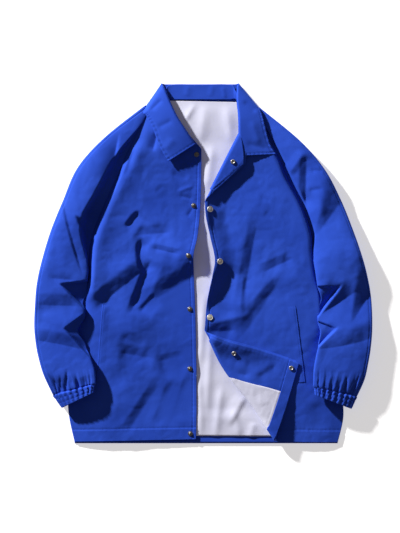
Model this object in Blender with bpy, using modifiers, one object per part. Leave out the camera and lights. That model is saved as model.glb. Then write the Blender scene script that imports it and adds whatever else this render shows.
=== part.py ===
"""Snap-front work jacket with raglan sleeves, laid on its back on a flat surface.

The jacket lies in the XY plane with its collar towards +Y and its outside front up (+Z).
Right and left are the wearer's, so the right front is on the -X side.
Every length below is in millimetres, and MM turns it into metres when a mesh is made.
"""

import math
from collections import namedtuple

import bmesh
import bpy
from mathutils import Matrix, Vector
from mathutils.bvhtree import BVHTree

MM = 0.001

# Walls and gaps. FLOOR_REST is the middle of a wall that lies just clear of the floor.
SHELL = 1.5
LINING = 1.0
TURN_UP = 1.2
WELT = 1.2
SEAM_GAP = 0.3
LIP_GAP = 0.5
FLOOR_REST = 0.4 + SHELL / 2

# Hem and facing
HEM_Y = -377.6
HEM_HEIGHT = 26.0
LINING_HANG = 12.0
HEM_SLOPE = 25.0

# Back neck, where the panel lies on the folded-under collar
NECK_RISE = 29.0
NECK_SPAN = 0.62
NECK_LIFT = 2.4
NECK_LIFT_FROM = 250.0
NECK_LIFT_TO = 305.0
LINING_INSET = 20.0
LINING_GAP = 0.6

# Elastic cuffs
CUFF_GATHERS = 17
CUFF_WAVE = 1.3
SLEEVE_GATHERS = 7
SLEEVE_GATHER_DEPTH = 1.8
SLEEVE_GATHER_SHARE = 0.12

# Pocket welts and snaps
WELT_WIDTH = 20.0
WELT_LIFT = 0.7
SNAP_SIDES = 12

BLUE = (0.022, 0.079, 0.50)
WHITE = (0.74, 0.73, 0.82)
METAL = (0.62, 0.60, 0.54)

# One row for each section of a front, from the hem to the neck: the side or raglan seam, the
# front edge, and the heights at the seam, over the body and at the edge.
FrontRow = namedtuple("FrontRow", "side_x side_y side_z edge_x edge_y body_z edge_z rise")
RIGHT_FRONT_ROWS = [
    FrontRow(-270, -374, 2.7, -15, -369, 9, 11, 0.22),
    FrontRow(-281, -325, 2.7, -14, -322, 11, 13, 0.40),
    FrontRow(-284, -285, 2.7, -14, -275, 13, 15, 0.45),
    FrontRow(-280, -245, 2.7, -14, -225, 15, 18, 0.50),
    FrontRow(-274, -192, 2.7, -15, -170, 16, 20, 0.50),
    FrontRow(-265, -140, 2.7, -16, -120, 17, 22, 0.45),
    FrontRow(-253, -77, 2.7, -18, -66, 17, 23, 0.40),
    FrontRow(-243, -28, 2.9, -20, -15, 17, 23, 0.35),
    FrontRow(-240, 8, 9.0, -20, 20, 16, 23, 0.35),
    FrontRow(-232, 57, 8.5, -12, 57, 16, 23, 0.35),
    FrontRow(-209, 118, 9.0, -7, 105, 16, 22, 0.35),
    FrontRow(-181, 179, 9.5, -5, 150, 16, 22, 0.35),
    FrontRow(-152, 246, 10.0, -4, 195, 17, 21, 0.35),
    FrontRow(-118, 313, 8.5, -4, 240, 18, 20, 0.35),
]
RIGHT_NECK_BULGE = 20.0
# The left front is given unfolded. Its lower corner and its lapel are then turned over.
LEFT_FRONT_ROWS = [
    FrontRow(282, -375, 2.7, -25, -364, 8, 9, 0.20),
    FrontRow(292, -335, 2.7, -20, -318, 9, 9, 0.25),
    FrontRow(294, -305, 2.7, -13, -268, 10, 10, 0.30),
    FrontRow(289, -255, 2.7, -7, -217, 11, 12, 0.35),
    FrontRow(279, -192, 2.7, -1, -172, 12, 16, 0.35),
    FrontRow(268, -140, 2.7, 3, -136, 13, 21, 0.35),
    FrontRow(249, -77, 2.7, 8, -80, 15, 25, 0.30),
    FrontRow(236, -24, 2.9, 19, -26, 16, 26, 0.30),
    FrontRow(230, 20, 9.0, 24, 10, 17, 26, 0.22),
    FrontRow(226, 63, 8.5, 14, 57, 18, 25, 0.18),
    FrontRow(205, 122, 9.0, 4, 110, 18, 23, 0.16),
    FrontRow(176, 178, 9.5, 9, 165, 18, 20, 0.16),
    FrontRow(154, 229, 10.0, 15, 205, 18, 19, 0.18),
    FrontRow(113, 309, 8.5, 20, 245, 17, 18, 0.30),
]
LEFT_NECK_BULGE = -16.0
FRONT_ACROSS = 15
FRONT_ALONG = 28
LEFT_ALONG = 38
# Columns of the left front up to a turn line, round the roll, and on the turned corner.
FLAT_COLUMNS = 13
ROLL_COLUMNS = 4
TURNED_COLUMNS = 5
LEFT_ACROSS = FLAT_COLUMNS + ROLL_COLUMNS + TURNED_COLUMNS
LEAST_TURN = 0.08
# Shares across a front: where the rise to its edge starts, and where its folds are at full height.
EDGE_FROM = 0.78
FOLDS_FROM = 0.2
# How sharply the neck curve and the neck lift of the panels fade below the neck.
FRONT_NECK_FADE = 6
BACK_NECK_FADE = 8

# The pieces that show on the turned corners of the left front, as shares of the panel: their
# ends along it from the hem, their ends across it from the side, and their faces.
TurnedPiece = namedtuple("TurnedPiece", "name v1 v2 u1 u2 across along")
LAPEL_PIECES = [TurnedPiece("lapel_facing", 0.83, 0.985, 0.0, 0.992, 5, 7)]
CORNER_PIECES = [
    TurnedPiece("corner_facing", 0.0475, 0.335, 0.795, 0.993, 6, 12),
    TurnedPiece("corner_lining", 0.0475, 0.205, 0.0, 0.793, 7, 8),
    TurnedPiece("corner_hem", 0.004, 0.0465, 0.0, 0.993, 12, 2),
]
TURNED_LIFT = 0.9
TURNED_FROM = 0.62 * math.pi
TURNED_SPACING = 1.7

# One row for each large fold: its two ends, its half width, and its height (a trough is negative).
Fold = namedtuple("Fold", "x1 y1 x2 y2 width height")
RIGHT_FRONT_FOLDS = [
    Fold(-135, 12, -205, -45, 26, 7),
    Fold(-128, -22, -200, -80, 22, -5),
    Fold(-40, 4, -105, -28, 20, 5),
    Fold(-35, -24, -125, -62, 20, -5),
    Fold(-185, -172, -85, -205, 26, 4),
    Fold(-155, -335, -98, -268, 18, -4),
    Fold(-95, -325, -70, -262, 16, -4),
    Fold(-58, -310, -26, -245, 15, -4),
]
LEFT_FRONT_FOLDS = [
    Fold(40, 105, 58, 25, 22, -7),
    Fold(55, 0, 35, -100, 20, -7),
    Fold(95, 10, 98, -95, 18, 4),
    Fold(145, -36, 80, -140, 22, -5),
    Fold(165, -60, 120, -150, 22, 4),
]
SLEEVE_FOLDS = {
    "right": [
        Fold(-250, -45, -290, -42, 15, -10),
        Fold(-255, -120, -290, -136, 16, -11),
        Fold(-262, -85, -320, -88, 18, 4),
        Fold(-215, 215, -262, 130, 16, 5),
    ],
    "left": [
        Fold(252, -48, 300, -30, 15, -9),
        Fold(252, -142, 325, -128, 15, -8),
        Fold(256, -100, 310, -80, 18, 4),
        Fold(232, 170, 250, 70, 16, -5),
    ],
}

# One row for each section of a sleeve, from the neck to the cuff: the raglan and underarm seam,
# the overarm seam on the outline, the rise of the upper half, where its crest lies (below 1 is
# nearer the body), the height that the lower half lies at beside the body, and the share across
# at which it has come down to the floor.
SleeveRow = namedtuple(
    "SleeveRow", "inner_x inner_y inner_z outer_x outer_y outer_z rise skew rest reach"
)
SLEEVE_ROWS = {
    "right": [
        SleeveRow(-118, 313, 8.5, -125, 320, 7.5, 1, 0.8, 5.0, 0.75),
        SleeveRow(-152, 246, 10.0, -207, 258, 11, 12, 0.65, 1.5, 0.75),
        SleeveRow(-181, 179, 9.5, -262, 200, 13, 19, 0.55, 1, 0.75),
        SleeveRow(-209, 118, 9.0, -293, 130, 13, 22, 0.55, 1, 0.75),
        SleeveRow(-232, 57, 8.5, -318, 68, 13, 22, 0.6, 1, 0.75),
        SleeveRow(-240, 8, 9.0, -336, 8, 13, 21, 0.75, 3, 0.75),
        SleeveRow(-246, -43, 14, -347, -43, 13, 19, 0.9, 8, 0.75),
        SleeveRow(-250, -90, 16, -351, -90, 13, 18, 1, 9, 0.75),
        SleeveRow(-251, -132, 18, -352.3, -132, 13, 18, 1, 10, 0.75),
        SleeveRow(-250, -169, 20, -349, -169, 13, 18, 1, 12, 0.75),
        SleeveRow(-238, -200, 22, -342, -203, 13, 17, 1, 14, 0.75),
        SleeveRow(-230, -225, 23, -332, -235, 13, 15, 1, 16, 0.75),
        SleeveRow(-227, -247, 23, -322, -262, 13, 12, 1, 17, 1.0),
    ],
    "left": [
        SleeveRow(113, 309, 8.5, 119, 315, 7.5, 1, 0.9, 5.0, 0.75),
        SleeveRow(154, 229, 10.0, 200, 252, 11, 11, 1.1, 1.5, 0.75),
        SleeveRow(176, 178, 9.5, 252, 198, 13, 17, 1.3, 1, 0.75),
        SleeveRow(205, 122, 9.0, 287, 133, 13, 20, 1.4, 1, 0.75),
        SleeveRow(226, 63, 8.5, 313, 68, 13, 22, 1.3, 1, 0.75),
        SleeveRow(230, 20, 9.0, 330, 18, 13, 22, 1.2, 3, 0.75),
        SleeveRow(238, -24, 14, 341, -22, 13, 19, 1.1, 8, 0.75),
        SleeveRow(243, -60, 16, 349, -62, 13, 18, 1, 9, 0.75),
        SleeveRow(242, -100, 18, 352, -100, 13, 18, 1, 10, 0.75),
        SleeveRow(243, -140, 20, 352, -142, 13, 18, 1, 12, 0.75),
        SleeveRow(244, -171, 21, 349, -178, 13, 18, 1, 13, 0.75),
        SleeveRow(239, -195, 22, 344, -208, 13, 17, 1, 14, 0.75),
        SleeveRow(234, -225, 23, 336, -243, 13, 15, 1, 16, 0.75),
        SleeveRow(233, -252, 23, 325, -268, 13, 12, 1, 17, 1.0),
    ],
}
CUFF_MOUTHS = {
    "right": SleeveRow(-230, -270, 24, -295, -302, 14, 9, 1, 19, 1.4),
    "left": SleeveRow(234, -275, 24, 309, -304, 14, 9, 1, 19, 1.4),
}
SLEEVE_ACROSS = 12
SLEEVE_ALONG = 27
UNDER_ACROSS = 8
UNDER_ALONG = 20
# How round a sleeve is: a lower number is flatter on the crest and fuller at the edges.
UPPER_FULLNESS = 0.75
LOWER_FULLNESS = 0.5
LOWER_FLAT = 1.25
SEAM_INSET = SHELL / 2 + 0.96

# A line that a corner of the left front is turned over at, from its upper to its lower end, with
# the radius of the roll at each end, and how far the turned corner settles.
Turn = namedtuple("Turn", "x1 y1 x2 y2 radius1 radius2 settle")
LAPEL_TURN = Turn(71, 263, 8, 133, 5.5, 3.0, 0.0)
CORNER_TURN = Turn(4, -136, 163, -378, 3.0, 12.0, 0.65)
SETTLE_LENGTH = 95.0

# One row for each section of the collar's fall, from the right point round the back to the left.
CollarRow = namedtuple("CollarRow", "roll_x roll_y roll_z outer_x outer_y outer_z")
FALL_ROWS = [
    CollarRow(-16, 249, 29, -73, 213, 24),
    CollarRow(-35, 277, 31, -91, 244, 24),
    CollarRow(-55, 308, 29, -106, 284, 21),
    CollarRow(-71, 342, 20, -119, 308, 16),
    CollarRow(-82, 369, 11, -127, 321, 13),
    CollarRow(-87, 377, 5.5, -134, 327, 6),
    CollarRow(-79, 376, 1.2, -120, 320, FLOOR_REST),
    CollarRow(-45, 376, FLOOR_REST, -60, 317, FLOOR_REST),
    CollarRow(-8, 376, FLOOR_REST, -8, 316, FLOOR_REST),
    CollarRow(30, 376, FLOOR_REST, 45, 317, FLOOR_REST),
    CollarRow(65, 376, 1.2, 108, 319, FLOOR_REST),
    CollarRow(74, 377, 5.5, 126, 325, 6),
    CollarRow(71, 370, 11, 119, 320, 14),
    CollarRow(70, 342, 20, 124, 306, 18),
    CollarRow(73, 308, 29, 129, 286, 22),
    CollarRow(74, 270, 34, 139, 250, 24),
    CollarRow(76, 224, 34, 152, 228, 24),
]
STAND_ROWS = [
    CollarRow(-20, 246, 26.5, -26, 241, 23.5),
    CollarRow(-38, 273, 28.5, -46, 267, 24),
    CollarRow(-58, 304, 26.5, -68, 297, 22.5),
    CollarRow(-74, 338, 17.5, -83, 328, 14),
    CollarRow(-78, 363, 9.0, -76, 344, 7.5),
    CollarRow(-66, 375, 5.0, -62, 343, 6.0),
    CollarRow(-8, 375, 5.0, -8, 343, 6.0),
    CollarRow(54, 375, 5.0, 52, 343, 6.0),
    CollarRow(67, 363, 9.0, 68, 344, 7.5),
    CollarRow(73, 338, 17.5, 82, 328, 14),
    CollarRow(77, 304, 27.0, 87, 299, 23),
]
FALL_ACROSS = 5
FALL_ALONG = 44
STAND_ACROSS = 2
STAND_ALONG = 30

# Pocket openings: the open edge of each welt, from its top to its bottom.
WELT_EDGES = {
    "right": ((-211, -84), (-224, -247)),
    "left": ((193, -87), (214, -249)),
}
# Snap places down each front, from the neck to the hem.
STUD_PLACES = [(-14, 228), (-20, 121), (-31, 16), (-28, -96), (-28, -221), (-27, -357)]
SNAP_PLACES = [(62, 212), (14, 113), (35, 4), (14, -113), (64, -188), (184, -219)]
# Turned outlines, as radius and height above the cloth, from the rim to the middle.
STUD_OUTLINE = [(5.2, 0.0), (5.0, 0.9), (2.6, 1.2), (2.2, 2.8), (0.0, 3.1)]
CAP_OUTLINE = [(6.6, 0.0), (6.3, 1.3), (4.2, 2.3), (0.0, 2.7)]
SOCKET_OUTLINE = [(5.6, 0.0), (5.4, 1.6), (3.6, 2.2), (2.4, 1.0), (0.0, 0.9)]


def clear_scene():
    for obj in list(bpy.data.objects):
        bpy.data.objects.remove(obj)


def make_material(name, colour, roughness, metallic):
    material = bpy.data.materials.new(name)
    material.use_nodes = True
    shader = material.node_tree.nodes["Principled BSDF"]
    shader.inputs["Base Color"].default_value = (*colour, 1.0)
    shader.inputs["Roughness"].default_value = roughness
    shader.inputs["Metallic"].default_value = metallic
    return material


def smooth(value):
    """A soft step from 0 at 0 to 1 at 1."""
    value = min(max(value, 0.0), 1.0)
    return value * value * (3 - 2 * value)


def mix(start, end, share):
    return start + (end - start) * share


def row_at(rows, share):
    """Every column of a table on a smooth curve through its rows, share running from 0 to 1."""
    last = len(rows) - 1
    place = min(max(share, 0.0), 1.0) * last
    i = min(int(place), last - 1)
    f = place - i
    near = [rows[min(max(k, 0), last)] for k in (i - 1, i, i + 1, i + 2)]
    return type(rows[0])(
        *(
            b + 0.5 * f * (c - a + f * (2 * a - 5 * b + 4 * c - d + f * (3 * (b - c) + d - a)))
            for a, b, c, d in zip(*near)
        )
    )


def fold_height(folds, x, y):
    """How far the folds lift or sink the cloth at a point."""
    total = 0.0
    for fold in folds:
        run = Vector((fold.x2 - fold.x1, fold.y2 - fold.y1))
        to_point = Vector((x - fold.x1, y - fold.y1))
        share = min(max(to_point.dot(run) / run.length_squared, 0.0), 1.0)
        away = (to_point - run * share).length / fold.width
        total += fold.height * math.exp(-away * away)
    return total


def make_object(name, mesh_data, material):
    mesh = bpy.data.meshes.new(name)
    mesh_data.to_mesh(mesh)
    mesh_data.free()
    mesh.materials.append(material)
    mesh.shade_smooth()
    obj = bpy.data.objects.new(name, mesh)
    bpy.data.collections["Work jacket"].objects.link(obj)
    return obj


def make_sheet(name, point, across, along, thickness, material, side=0.0, ring=False):
    """A wall on the surface point(u, v), with u across and v along it, both from 0 to 1."""
    grid = bmesh.new()
    bmesh.ops.create_grid(grid, x_segments=across, y_segments=along, size=0.5)
    for vert in grid.verts:
        vert.co = Vector(point(vert.co.x + 0.5, vert.co.y + 0.5)) * MM
    if ring:
        bmesh.ops.remove_doubles(grid, verts=grid.verts, dist=0.01 * MM)
    obj = make_object(name, grid, material)
    wall = obj.modifiers.new("Wall", "SOLIDIFY")
    wall.thickness = thickness * MM
    wall.offset = side
    wall.use_even_offset = True
    return obj


class FrontPanel:
    """One front: its plan from the section rows, its height, and the corners turned over."""

    def __init__(self, rows, folds, neck_bulge, turns=()):
        self.rows = rows
        self.folds = folds
        self.neck_bulge = neck_bulge
        self.turns = turns

    def plan(self, u, v):
        row = row_at(self.rows, v)
        bulge = self.neck_bulge * math.sin(math.pi * u) * v**FRONT_NECK_FADE
        return mix(row.side_x, row.edge_x, u), mix(row.side_y, row.edge_y, u) + bulge

    def share_at(self, x, y):
        """The share along the panel of the section that passes through a point, and the share across."""
        low, high = 0.0, 1.0
        for _ in range(24):
            v = (low + high) / 2
            row = row_at(self.rows, v)
            u = (x - row.side_x) / (row.edge_x - row.side_x)
            if mix(row.side_y, row.edge_y, u) < y:
                low = v
            else:
                high = v
        return u, v

    def height(self, u, v, x, y):
        row = row_at(self.rows, v)
        body = mix(row.side_z, row.body_z, math.sin(math.pi / 2 * min(u / row.rise, 1.0)))
        body += (row.edge_z - row.body_z) * smooth((u - EDGE_FROM) / (1 - EDGE_FROM))
        return body + fold_height(self.folds, x, y) * smooth(u / FOLDS_FROM)

    def height_at(self, x, y):
        u, v = self.share_at(x, y)
        return self.height(min(max(u, 0.0), 1.0), v, x, y)

    def beyond(self, turn, u, v):
        """How far past a turn line a point lies, with the line's point and the roll's radius there."""
        start = Vector((turn.x1, turn.y1))
        run = Vector((turn.x2 - turn.x1, turn.y2 - turn.y1))
        length = run.length
        run.normalize()
        reach = Vector(self.plan(u, v)) - start
        along = reach.dot(run)
        radius = mix(turn.radius1, turn.radius2, smooth(along / length))
        return reach.dot(Vector((run.y, -run.x))), start + run * along, radius

    def share_past(self, turn, v, arc):
        """The share across at which a section has gone round an arc of the roll."""
        low, high = 0.0, 1.0
        for _ in range(24):
            u = (low + high) / 2
            past, _, radius = self.beyond(turn, u, v)
            if past < arc * radius:
                low = u
            else:
                high = u
        return high

    def column_share(self, u, v):
        """Columns gathered at the turn lines, so that they run along the rolls."""
        start = min(self.share_past(turn, v, 0.0) for turn in self.turns)
        end = min(self.share_past(turn, v, math.pi) for turn in self.turns)
        start = min(start, 1 - LEAST_TURN)
        even = ROLL_COLUMNS / (ROLL_COLUMNS + TURNED_COLUMNS)
        end = min(end, mix(start, 1.0, even))
        column = u * LEFT_ACROSS
        if column <= FLAT_COLUMNS:
            return start * column / FLAT_COLUMNS
        column -= FLAT_COLUMNS
        if column <= ROLL_COLUMNS:
            return mix(start, end, column / ROLL_COLUMNS)
        return mix(end, 1.0, (column - ROLL_COLUMNS) / TURNED_COLUMNS)

    def gathered_point(self, u, v):
        return self.point(self.column_share(u, v), v)

    def inner_point(self, u, v, depth):
        """A point off the panel on its inner side."""
        step = 0.004
        across = Vector(self.point(u + step, v)) - Vector(self.point(u - step, v))
        along = Vector(self.point(u, v + step)) - Vector(self.point(u, max(v - step, 0.0)))
        return Vector(self.point(u, v)) + across.cross(along).normalized() * depth

    def point(self, u, v):
        """A point of the panel, with its corners turned over."""
        x, y = self.plan(u, v)
        for turn in self.turns:
            past, on_line, radius = self.beyond(turn, u, v)
            if past > 0:
                out = Vector((turn.y2 - turn.y1, turn.x1 - turn.x2)).normalized()
                return self.turned(on_line, out, past, radius, turn.settle)
        return x, y, self.height(u, v, x, y)

    def turned(self, on_line, out, past, radius, settle):
        """A point past the turn line: round the roll, or on the turned corner after it."""
        angle = past / radius
        if angle < math.pi:
            place = on_line + out * radius * math.sin(angle)
            return place.x, place.y, self.height_at(*on_line) + radius * (1 - math.cos(angle))
        back = past - math.pi * radius
        place = on_line - out * back
        lift = 2 * radius * (1 - settle * smooth(back / SETTLE_LENGTH))
        return place.x, place.y, self.height_at(*place) + lift


def arch(share, skew, fullness):
    """0 at both edges and 1 at the crest, which lies nearer the first edge for a skew below 1."""
    return max(math.sin(math.pi * share**skew), 0.0) ** fullness


def across_share(u, count):
    """Evenly rounded spacing across a sleeve, with an upright lip of one face at each edge."""
    step = 1 / count
    return (1 - math.cos(math.pi * min(max((u - step) / (1 - 2 * step), 0.0), 1.0))) / 2


def section_point(row, share, z):
    return mix(row.inner_x, row.outer_x, share), mix(row.inner_y, row.outer_y, share), z


def upper_height(row, share, u):
    return mix(row.inner_z, row.outer_z, share) + row.rise * arch(u, row.skew, UPPER_FULLNESS)


def lower_height(row, share, u):
    chord = mix(row.inner_z, row.outer_z, share)
    rest = mix(max(row.rest, FLOOR_REST), FLOOR_REST, smooth(share / row.reach))
    return chord - (chord - rest) * min(1.0, LOWER_FLAT * arch(u, 1.0, LOWER_FULLNESS))


def inset_row(row, inset):
    """A sleeve section with its seam edges drawn in from the neighbouring panels."""
    run = Vector((row.outer_x - row.inner_x, row.outer_y - row.inner_y)).normalized() * inset
    return row._replace(inner_x=row.inner_x + run.x, inner_y=row.inner_y + run.y)


def make_sleeve(side, material):
    rows = SLEEVE_ROWS[side]
    folds = SLEEVE_FOLDS[side]

    def upper(u, v):
        row = inset_row(row_at(rows, v), SEAM_INSET)
        share = across_share(u, SLEEVE_ACROSS)
        x, y, _ = section_point(row, share, 0.0)
        near_cuff = smooth((v - 1 + SLEEVE_GATHER_SHARE) / SLEEVE_GATHER_SHARE)
        gather = SLEEVE_GATHER_DEPTH * near_cuff * math.sin(2 * math.pi * SLEEVE_GATHERS * share)
        body = (fold_height(folds, x, y) + gather) * arch(u, 1.0, LOWER_FULLNESS)
        return x, y, upper_height(row, share, u) + LIP_GAP / 2 + body

    def lower(u, v):
        row = inset_row(row_at(rows, v), SEAM_INSET)
        share = across_share(u, UNDER_ACROSS)
        return section_point(row, share, lower_height(row, share, u) - LIP_GAP / 2)

    make_sheet(f"sleeve_{side}_front", upper, SLEEVE_ACROSS, SLEEVE_ALONG, SHELL, material)
    make_sheet(f"sleeve_{side}_back", lower, UNDER_ACROSS, UNDER_ALONG, SHELL, material)


def make_cuff(side, material):
    """The elastic band round the end of a sleeve, drawn into waves."""
    ends = [SLEEVE_ROWS[side][-1], CUFF_MOUTHS[side]]
    down = Vector((ends[1].inner_x - ends[0].inner_x, ends[1].inner_y - ends[0].inner_y))
    gap = (SEAM_GAP + SHELL / 2) / down.length

    def band(u, v):
        row = SleeveRow(*(mix(a, b, mix(gap, 1.0, v)) for a, b in zip(*ends)))
        turn = 2 * math.pi * u
        share = (1 - math.cos(turn)) / 2
        half = u * 2 if u <= 0.5 else 2 - u * 2
        height = upper_height if u <= 0.5 else lower_height
        x, y, z = section_point(row, share, height(row, share, half))
        wave = CUFF_WAVE * math.cos(CUFF_GATHERS * turn)
        outward = Vector((row.outer_x - row.inner_x, row.outer_y - row.inner_y)).normalized()
        x -= outward.x * wave * math.cos(turn)
        y -= outward.y * wave * math.cos(turn)
        return x, y, max(z + wave * math.sin(turn), FLOOR_REST)

    make_sheet(f"cuff_{side}", band, CUFF_GATHERS * 4, 3, SHELL, material, ring=True)


def back_plan(u, v, inset=0.0):
    """The back lies under both fronts, between their side and raglan seams."""
    right = row_at(RIGHT_FRONT_ROWS, v)
    left = row_at(LEFT_FRONT_ROWS, v)
    x = mix(right.side_x + inset, left.side_x - inset, u)
    across = mix(right.side_y, left.side_y, u)
    middle = 1 - smooth((abs(u - 0.5) * 2 - NECK_SPAN) / (1 - NECK_SPAN))
    return x, across + NECK_RISE * middle * v**BACK_NECK_FADE


def back_floor(y):
    """The height of the back's underside: flat, but lifted over the folded-under collar."""
    return NECK_LIFT * smooth((y - NECK_LIFT_FROM) / (NECK_LIFT_TO - NECK_LIFT_FROM))


def make_back(blue, white):
    def shell(u, v):
        x, y = back_plan(u, v)
        return x, y if v > 0 else HEM_Y, back_floor(y)

    def turn_up(u, v):
        x, _ = back_plan(u, 0.0, LINING_INSET)
        return x, HEM_Y + 1 + HEM_HEIGHT * v, SHELL + SEAM_GAP

    def lining(u, v):
        x, y = back_plan(u, v, LINING_INSET)
        y = max(y, HEM_Y + LINING_HANG)
        over_hem = 1 - smooth((y - HEM_Y - HEM_HEIGHT - HEM_SLOPE) / HEM_SLOPE)
        lift = SHELL + LINING_GAP + TURN_UP * over_hem
        return x, y - SEAM_GAP, back_floor(y) + lift

    make_sheet("back", shell, 14, 30, SHELL, blue, side=1.0)
    make_sheet("back_hem", turn_up, 6, 1, TURN_UP, blue, side=1.0)
    make_sheet("back_lining", lining, 10, 30, LINING, white, side=1.0)


def collar_sheet(rows):
    def point(u, v):
        row = row_at(rows, v)
        return (
            mix(row.roll_x, row.outer_x, u),
            mix(row.roll_y, row.outer_y, u),
            max(mix(row.roll_z, row.outer_z, u), FLOOR_REST),
        )

    return point


def cloth_under(objects):
    """A function that gives the highest point of the objects over a place, and its normal."""
    bpy.context.view_layer.update()
    graph = bpy.context.evaluated_depsgraph_get()
    trees = [BVHTree.FromObject(obj, graph) for obj in objects]
    down = Vector((0, 0, -1))

    def find(x, y):
        hits = [tree.ray_cast(Vector((x * MM, y * MM, 1.0)), down) for tree in trees]
        found = [(hit[0] / MM, hit[1]) for hit in hits if hit[0] is not None]
        return max(found, key=lambda place_and_normal: place_and_normal[0].z)

    return find


def cloth_over(obj):
    """A function that gives the outer height of the lowest layer of an object over a place."""
    bpy.context.view_layer.update()
    tree = BVHTree.FromObject(obj, bpy.context.evaluated_depsgraph_get())

    def find(x, y):
        place, normal, _, _ = tree.ray_cast(Vector((x * MM, y * MM, -1.0)), Vector((0, 0, 1)))
        return place.z / MM + SHELL / abs(normal.z)

    return find


def make_turned_piece(piece, panel, turn, material):
    """A piece of the left front's inside, laid on a turned corner from the roll to its edge."""

    def point(u, v):
        along = mix(piece.v1, piece.v2, v)
        start = max(panel.share_past(turn, along, TURNED_FROM), piece.u1)
        return panel.inner_point(mix(start, piece.u2, u**TURNED_SPACING), along, SHELL / 2 + TURNED_LIFT)

    return make_sheet(piece.name, point, piece.across, piece.along, TURN_UP, material, side=1.0)


def make_welt(side, panel, material):
    """The strip sewn along a pocket opening, from its open edge towards the middle front."""
    find = cloth_over(panel)
    top, bottom = (Vector(end) for end in WELT_EDGES[side])
    inward = Vector((top.y - bottom.y, bottom.x - top.x)).normalized() * WELT_WIDTH
    if side == "left":
        inward = -inward

    def point(u, v):
        place = top.lerp(bottom, v) + inward * u
        return place.x, place.y, find(*place) + WELT_LIFT

    up = -1.0 if side == "right" else 1.0
    make_sheet(f"pocket_welt_{side}", point, 3, 16, WELT, material, side=up)


def make_snap(name, place, outline, find, material):
    """A turned piece of a snap, seated on the cloth."""
    found, normal = find(*place)
    turn = normal.to_track_quat("Z", "Y").to_matrix()
    rim = outline[0][0]
    lift = 0.0
    for i in range(SNAP_SIDES):
        angle = 2 * math.pi * i / SNAP_SIDES
        spot = found + turn @ Vector((rim * math.cos(angle), rim * math.sin(angle), 0))
        under, _ = find(spot.x, spot.y)
        lift = max(lift, (under - found).dot(normal))
    profile = bmesh.new()
    points = [(0.0, 0.0), *outline]
    verts = [profile.verts.new((radius * MM, 0, height * MM)) for radius, height in points]
    edges = [profile.edges.new(pair) for pair in zip(verts, verts[1:])]
    bmesh.ops.spin(
        profile,
        geom=verts + edges,
        cent=(0, 0, 0),
        axis=(0, 0, 1),
        angle=2 * math.pi,
        steps=SNAP_SIDES,
        use_merge=True,
    )
    bmesh.ops.remove_doubles(profile, verts=profile.verts, dist=0.01 * MM)
    bmesh.ops.recalc_face_normals(profile, faces=profile.faces)
    seat = (found + normal * (lift + SEAM_GAP)) * MM
    profile.transform(Matrix.Translation(seat) @ turn.to_4x4())
    return make_object(name, profile, material)


def main():
    clear_scene()
    bpy.context.scene.collection.children.link(bpy.data.collections.new("Work jacket"))
    blue = make_material("Blue shell", BLUE, 0.55, 0.0)
    white = make_material("White lining", WHITE, 0.6, 0.0)
    metal = make_material("Snap metal", METAL, 0.35, 1.0)

    make_back(blue, white)
    right = FrontPanel(RIGHT_FRONT_ROWS, RIGHT_FRONT_FOLDS, RIGHT_NECK_BULGE)
    left = FrontPanel(
        LEFT_FRONT_ROWS, LEFT_FRONT_FOLDS, LEFT_NECK_BULGE, [LAPEL_TURN, CORNER_TURN]
    )
    right_front = make_sheet("front_right", right.point, FRONT_ACROSS, FRONT_ALONG, SHELL, blue)
    left_front = make_sheet("front_left", left.gathered_point, LEFT_ACROSS, LEFT_ALONG, SHELL, blue)
    inside = []
    for turn, pieces in ((LAPEL_TURN, LAPEL_PIECES), (CORNER_TURN, CORNER_PIECES)):
        for piece in pieces:
            cloth = white if "lining" in piece.name else blue
            inside.append(make_turned_piece(piece, left, turn, cloth))
    for side in ("right", "left"):
        make_sleeve(side, blue)
        make_cuff(side, blue)
    make_sheet("collar_fall", collar_sheet(FALL_ROWS), FALL_ACROSS, FALL_ALONG, SHELL, blue)
    make_sheet("collar_stand", collar_sheet(STAND_ROWS), STAND_ACROSS, STAND_ALONG, SHELL, blue)
    make_welt("right", right_front, blue)
    make_welt("left", left_front, blue)

    on_right = cloth_under([right_front])
    on_left = cloth_under([left_front, *inside])
    for i, place in enumerate(STUD_PLACES, 1):
        make_snap(f"stud_{i}", place, STUD_OUTLINE, on_right, metal)
    turned = (1, 5, 6)
    for i, place in enumerate(SNAP_PLACES, 1):
        outline = SOCKET_OUTLINE if i in turned else CAP_OUTLINE
        make_snap(f"snap_{i}", place, outline, on_left, metal)


main()
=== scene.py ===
import math

import bmesh
import bpy
import numpy as np
from mathutils import Matrix, Vector, noise
from mathutils.bvhtree import BVHTree


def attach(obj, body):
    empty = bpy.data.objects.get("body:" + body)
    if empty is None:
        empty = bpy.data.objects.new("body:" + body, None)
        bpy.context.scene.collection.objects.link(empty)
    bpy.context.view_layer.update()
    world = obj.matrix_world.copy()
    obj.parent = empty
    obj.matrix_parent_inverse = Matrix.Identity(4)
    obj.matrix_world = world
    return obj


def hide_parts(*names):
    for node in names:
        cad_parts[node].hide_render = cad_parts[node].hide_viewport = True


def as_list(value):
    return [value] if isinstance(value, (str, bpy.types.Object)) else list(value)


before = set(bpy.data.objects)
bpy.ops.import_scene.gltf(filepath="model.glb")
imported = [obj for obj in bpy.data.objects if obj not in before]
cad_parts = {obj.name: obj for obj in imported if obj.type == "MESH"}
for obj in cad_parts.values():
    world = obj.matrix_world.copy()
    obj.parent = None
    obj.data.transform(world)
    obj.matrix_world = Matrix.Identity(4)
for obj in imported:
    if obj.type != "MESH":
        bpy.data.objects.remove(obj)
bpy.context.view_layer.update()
mm = 0.001  # every size below is in millimetres, right and left are the wearer's
print("frame loaded:", len(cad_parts), "nodes")

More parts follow.
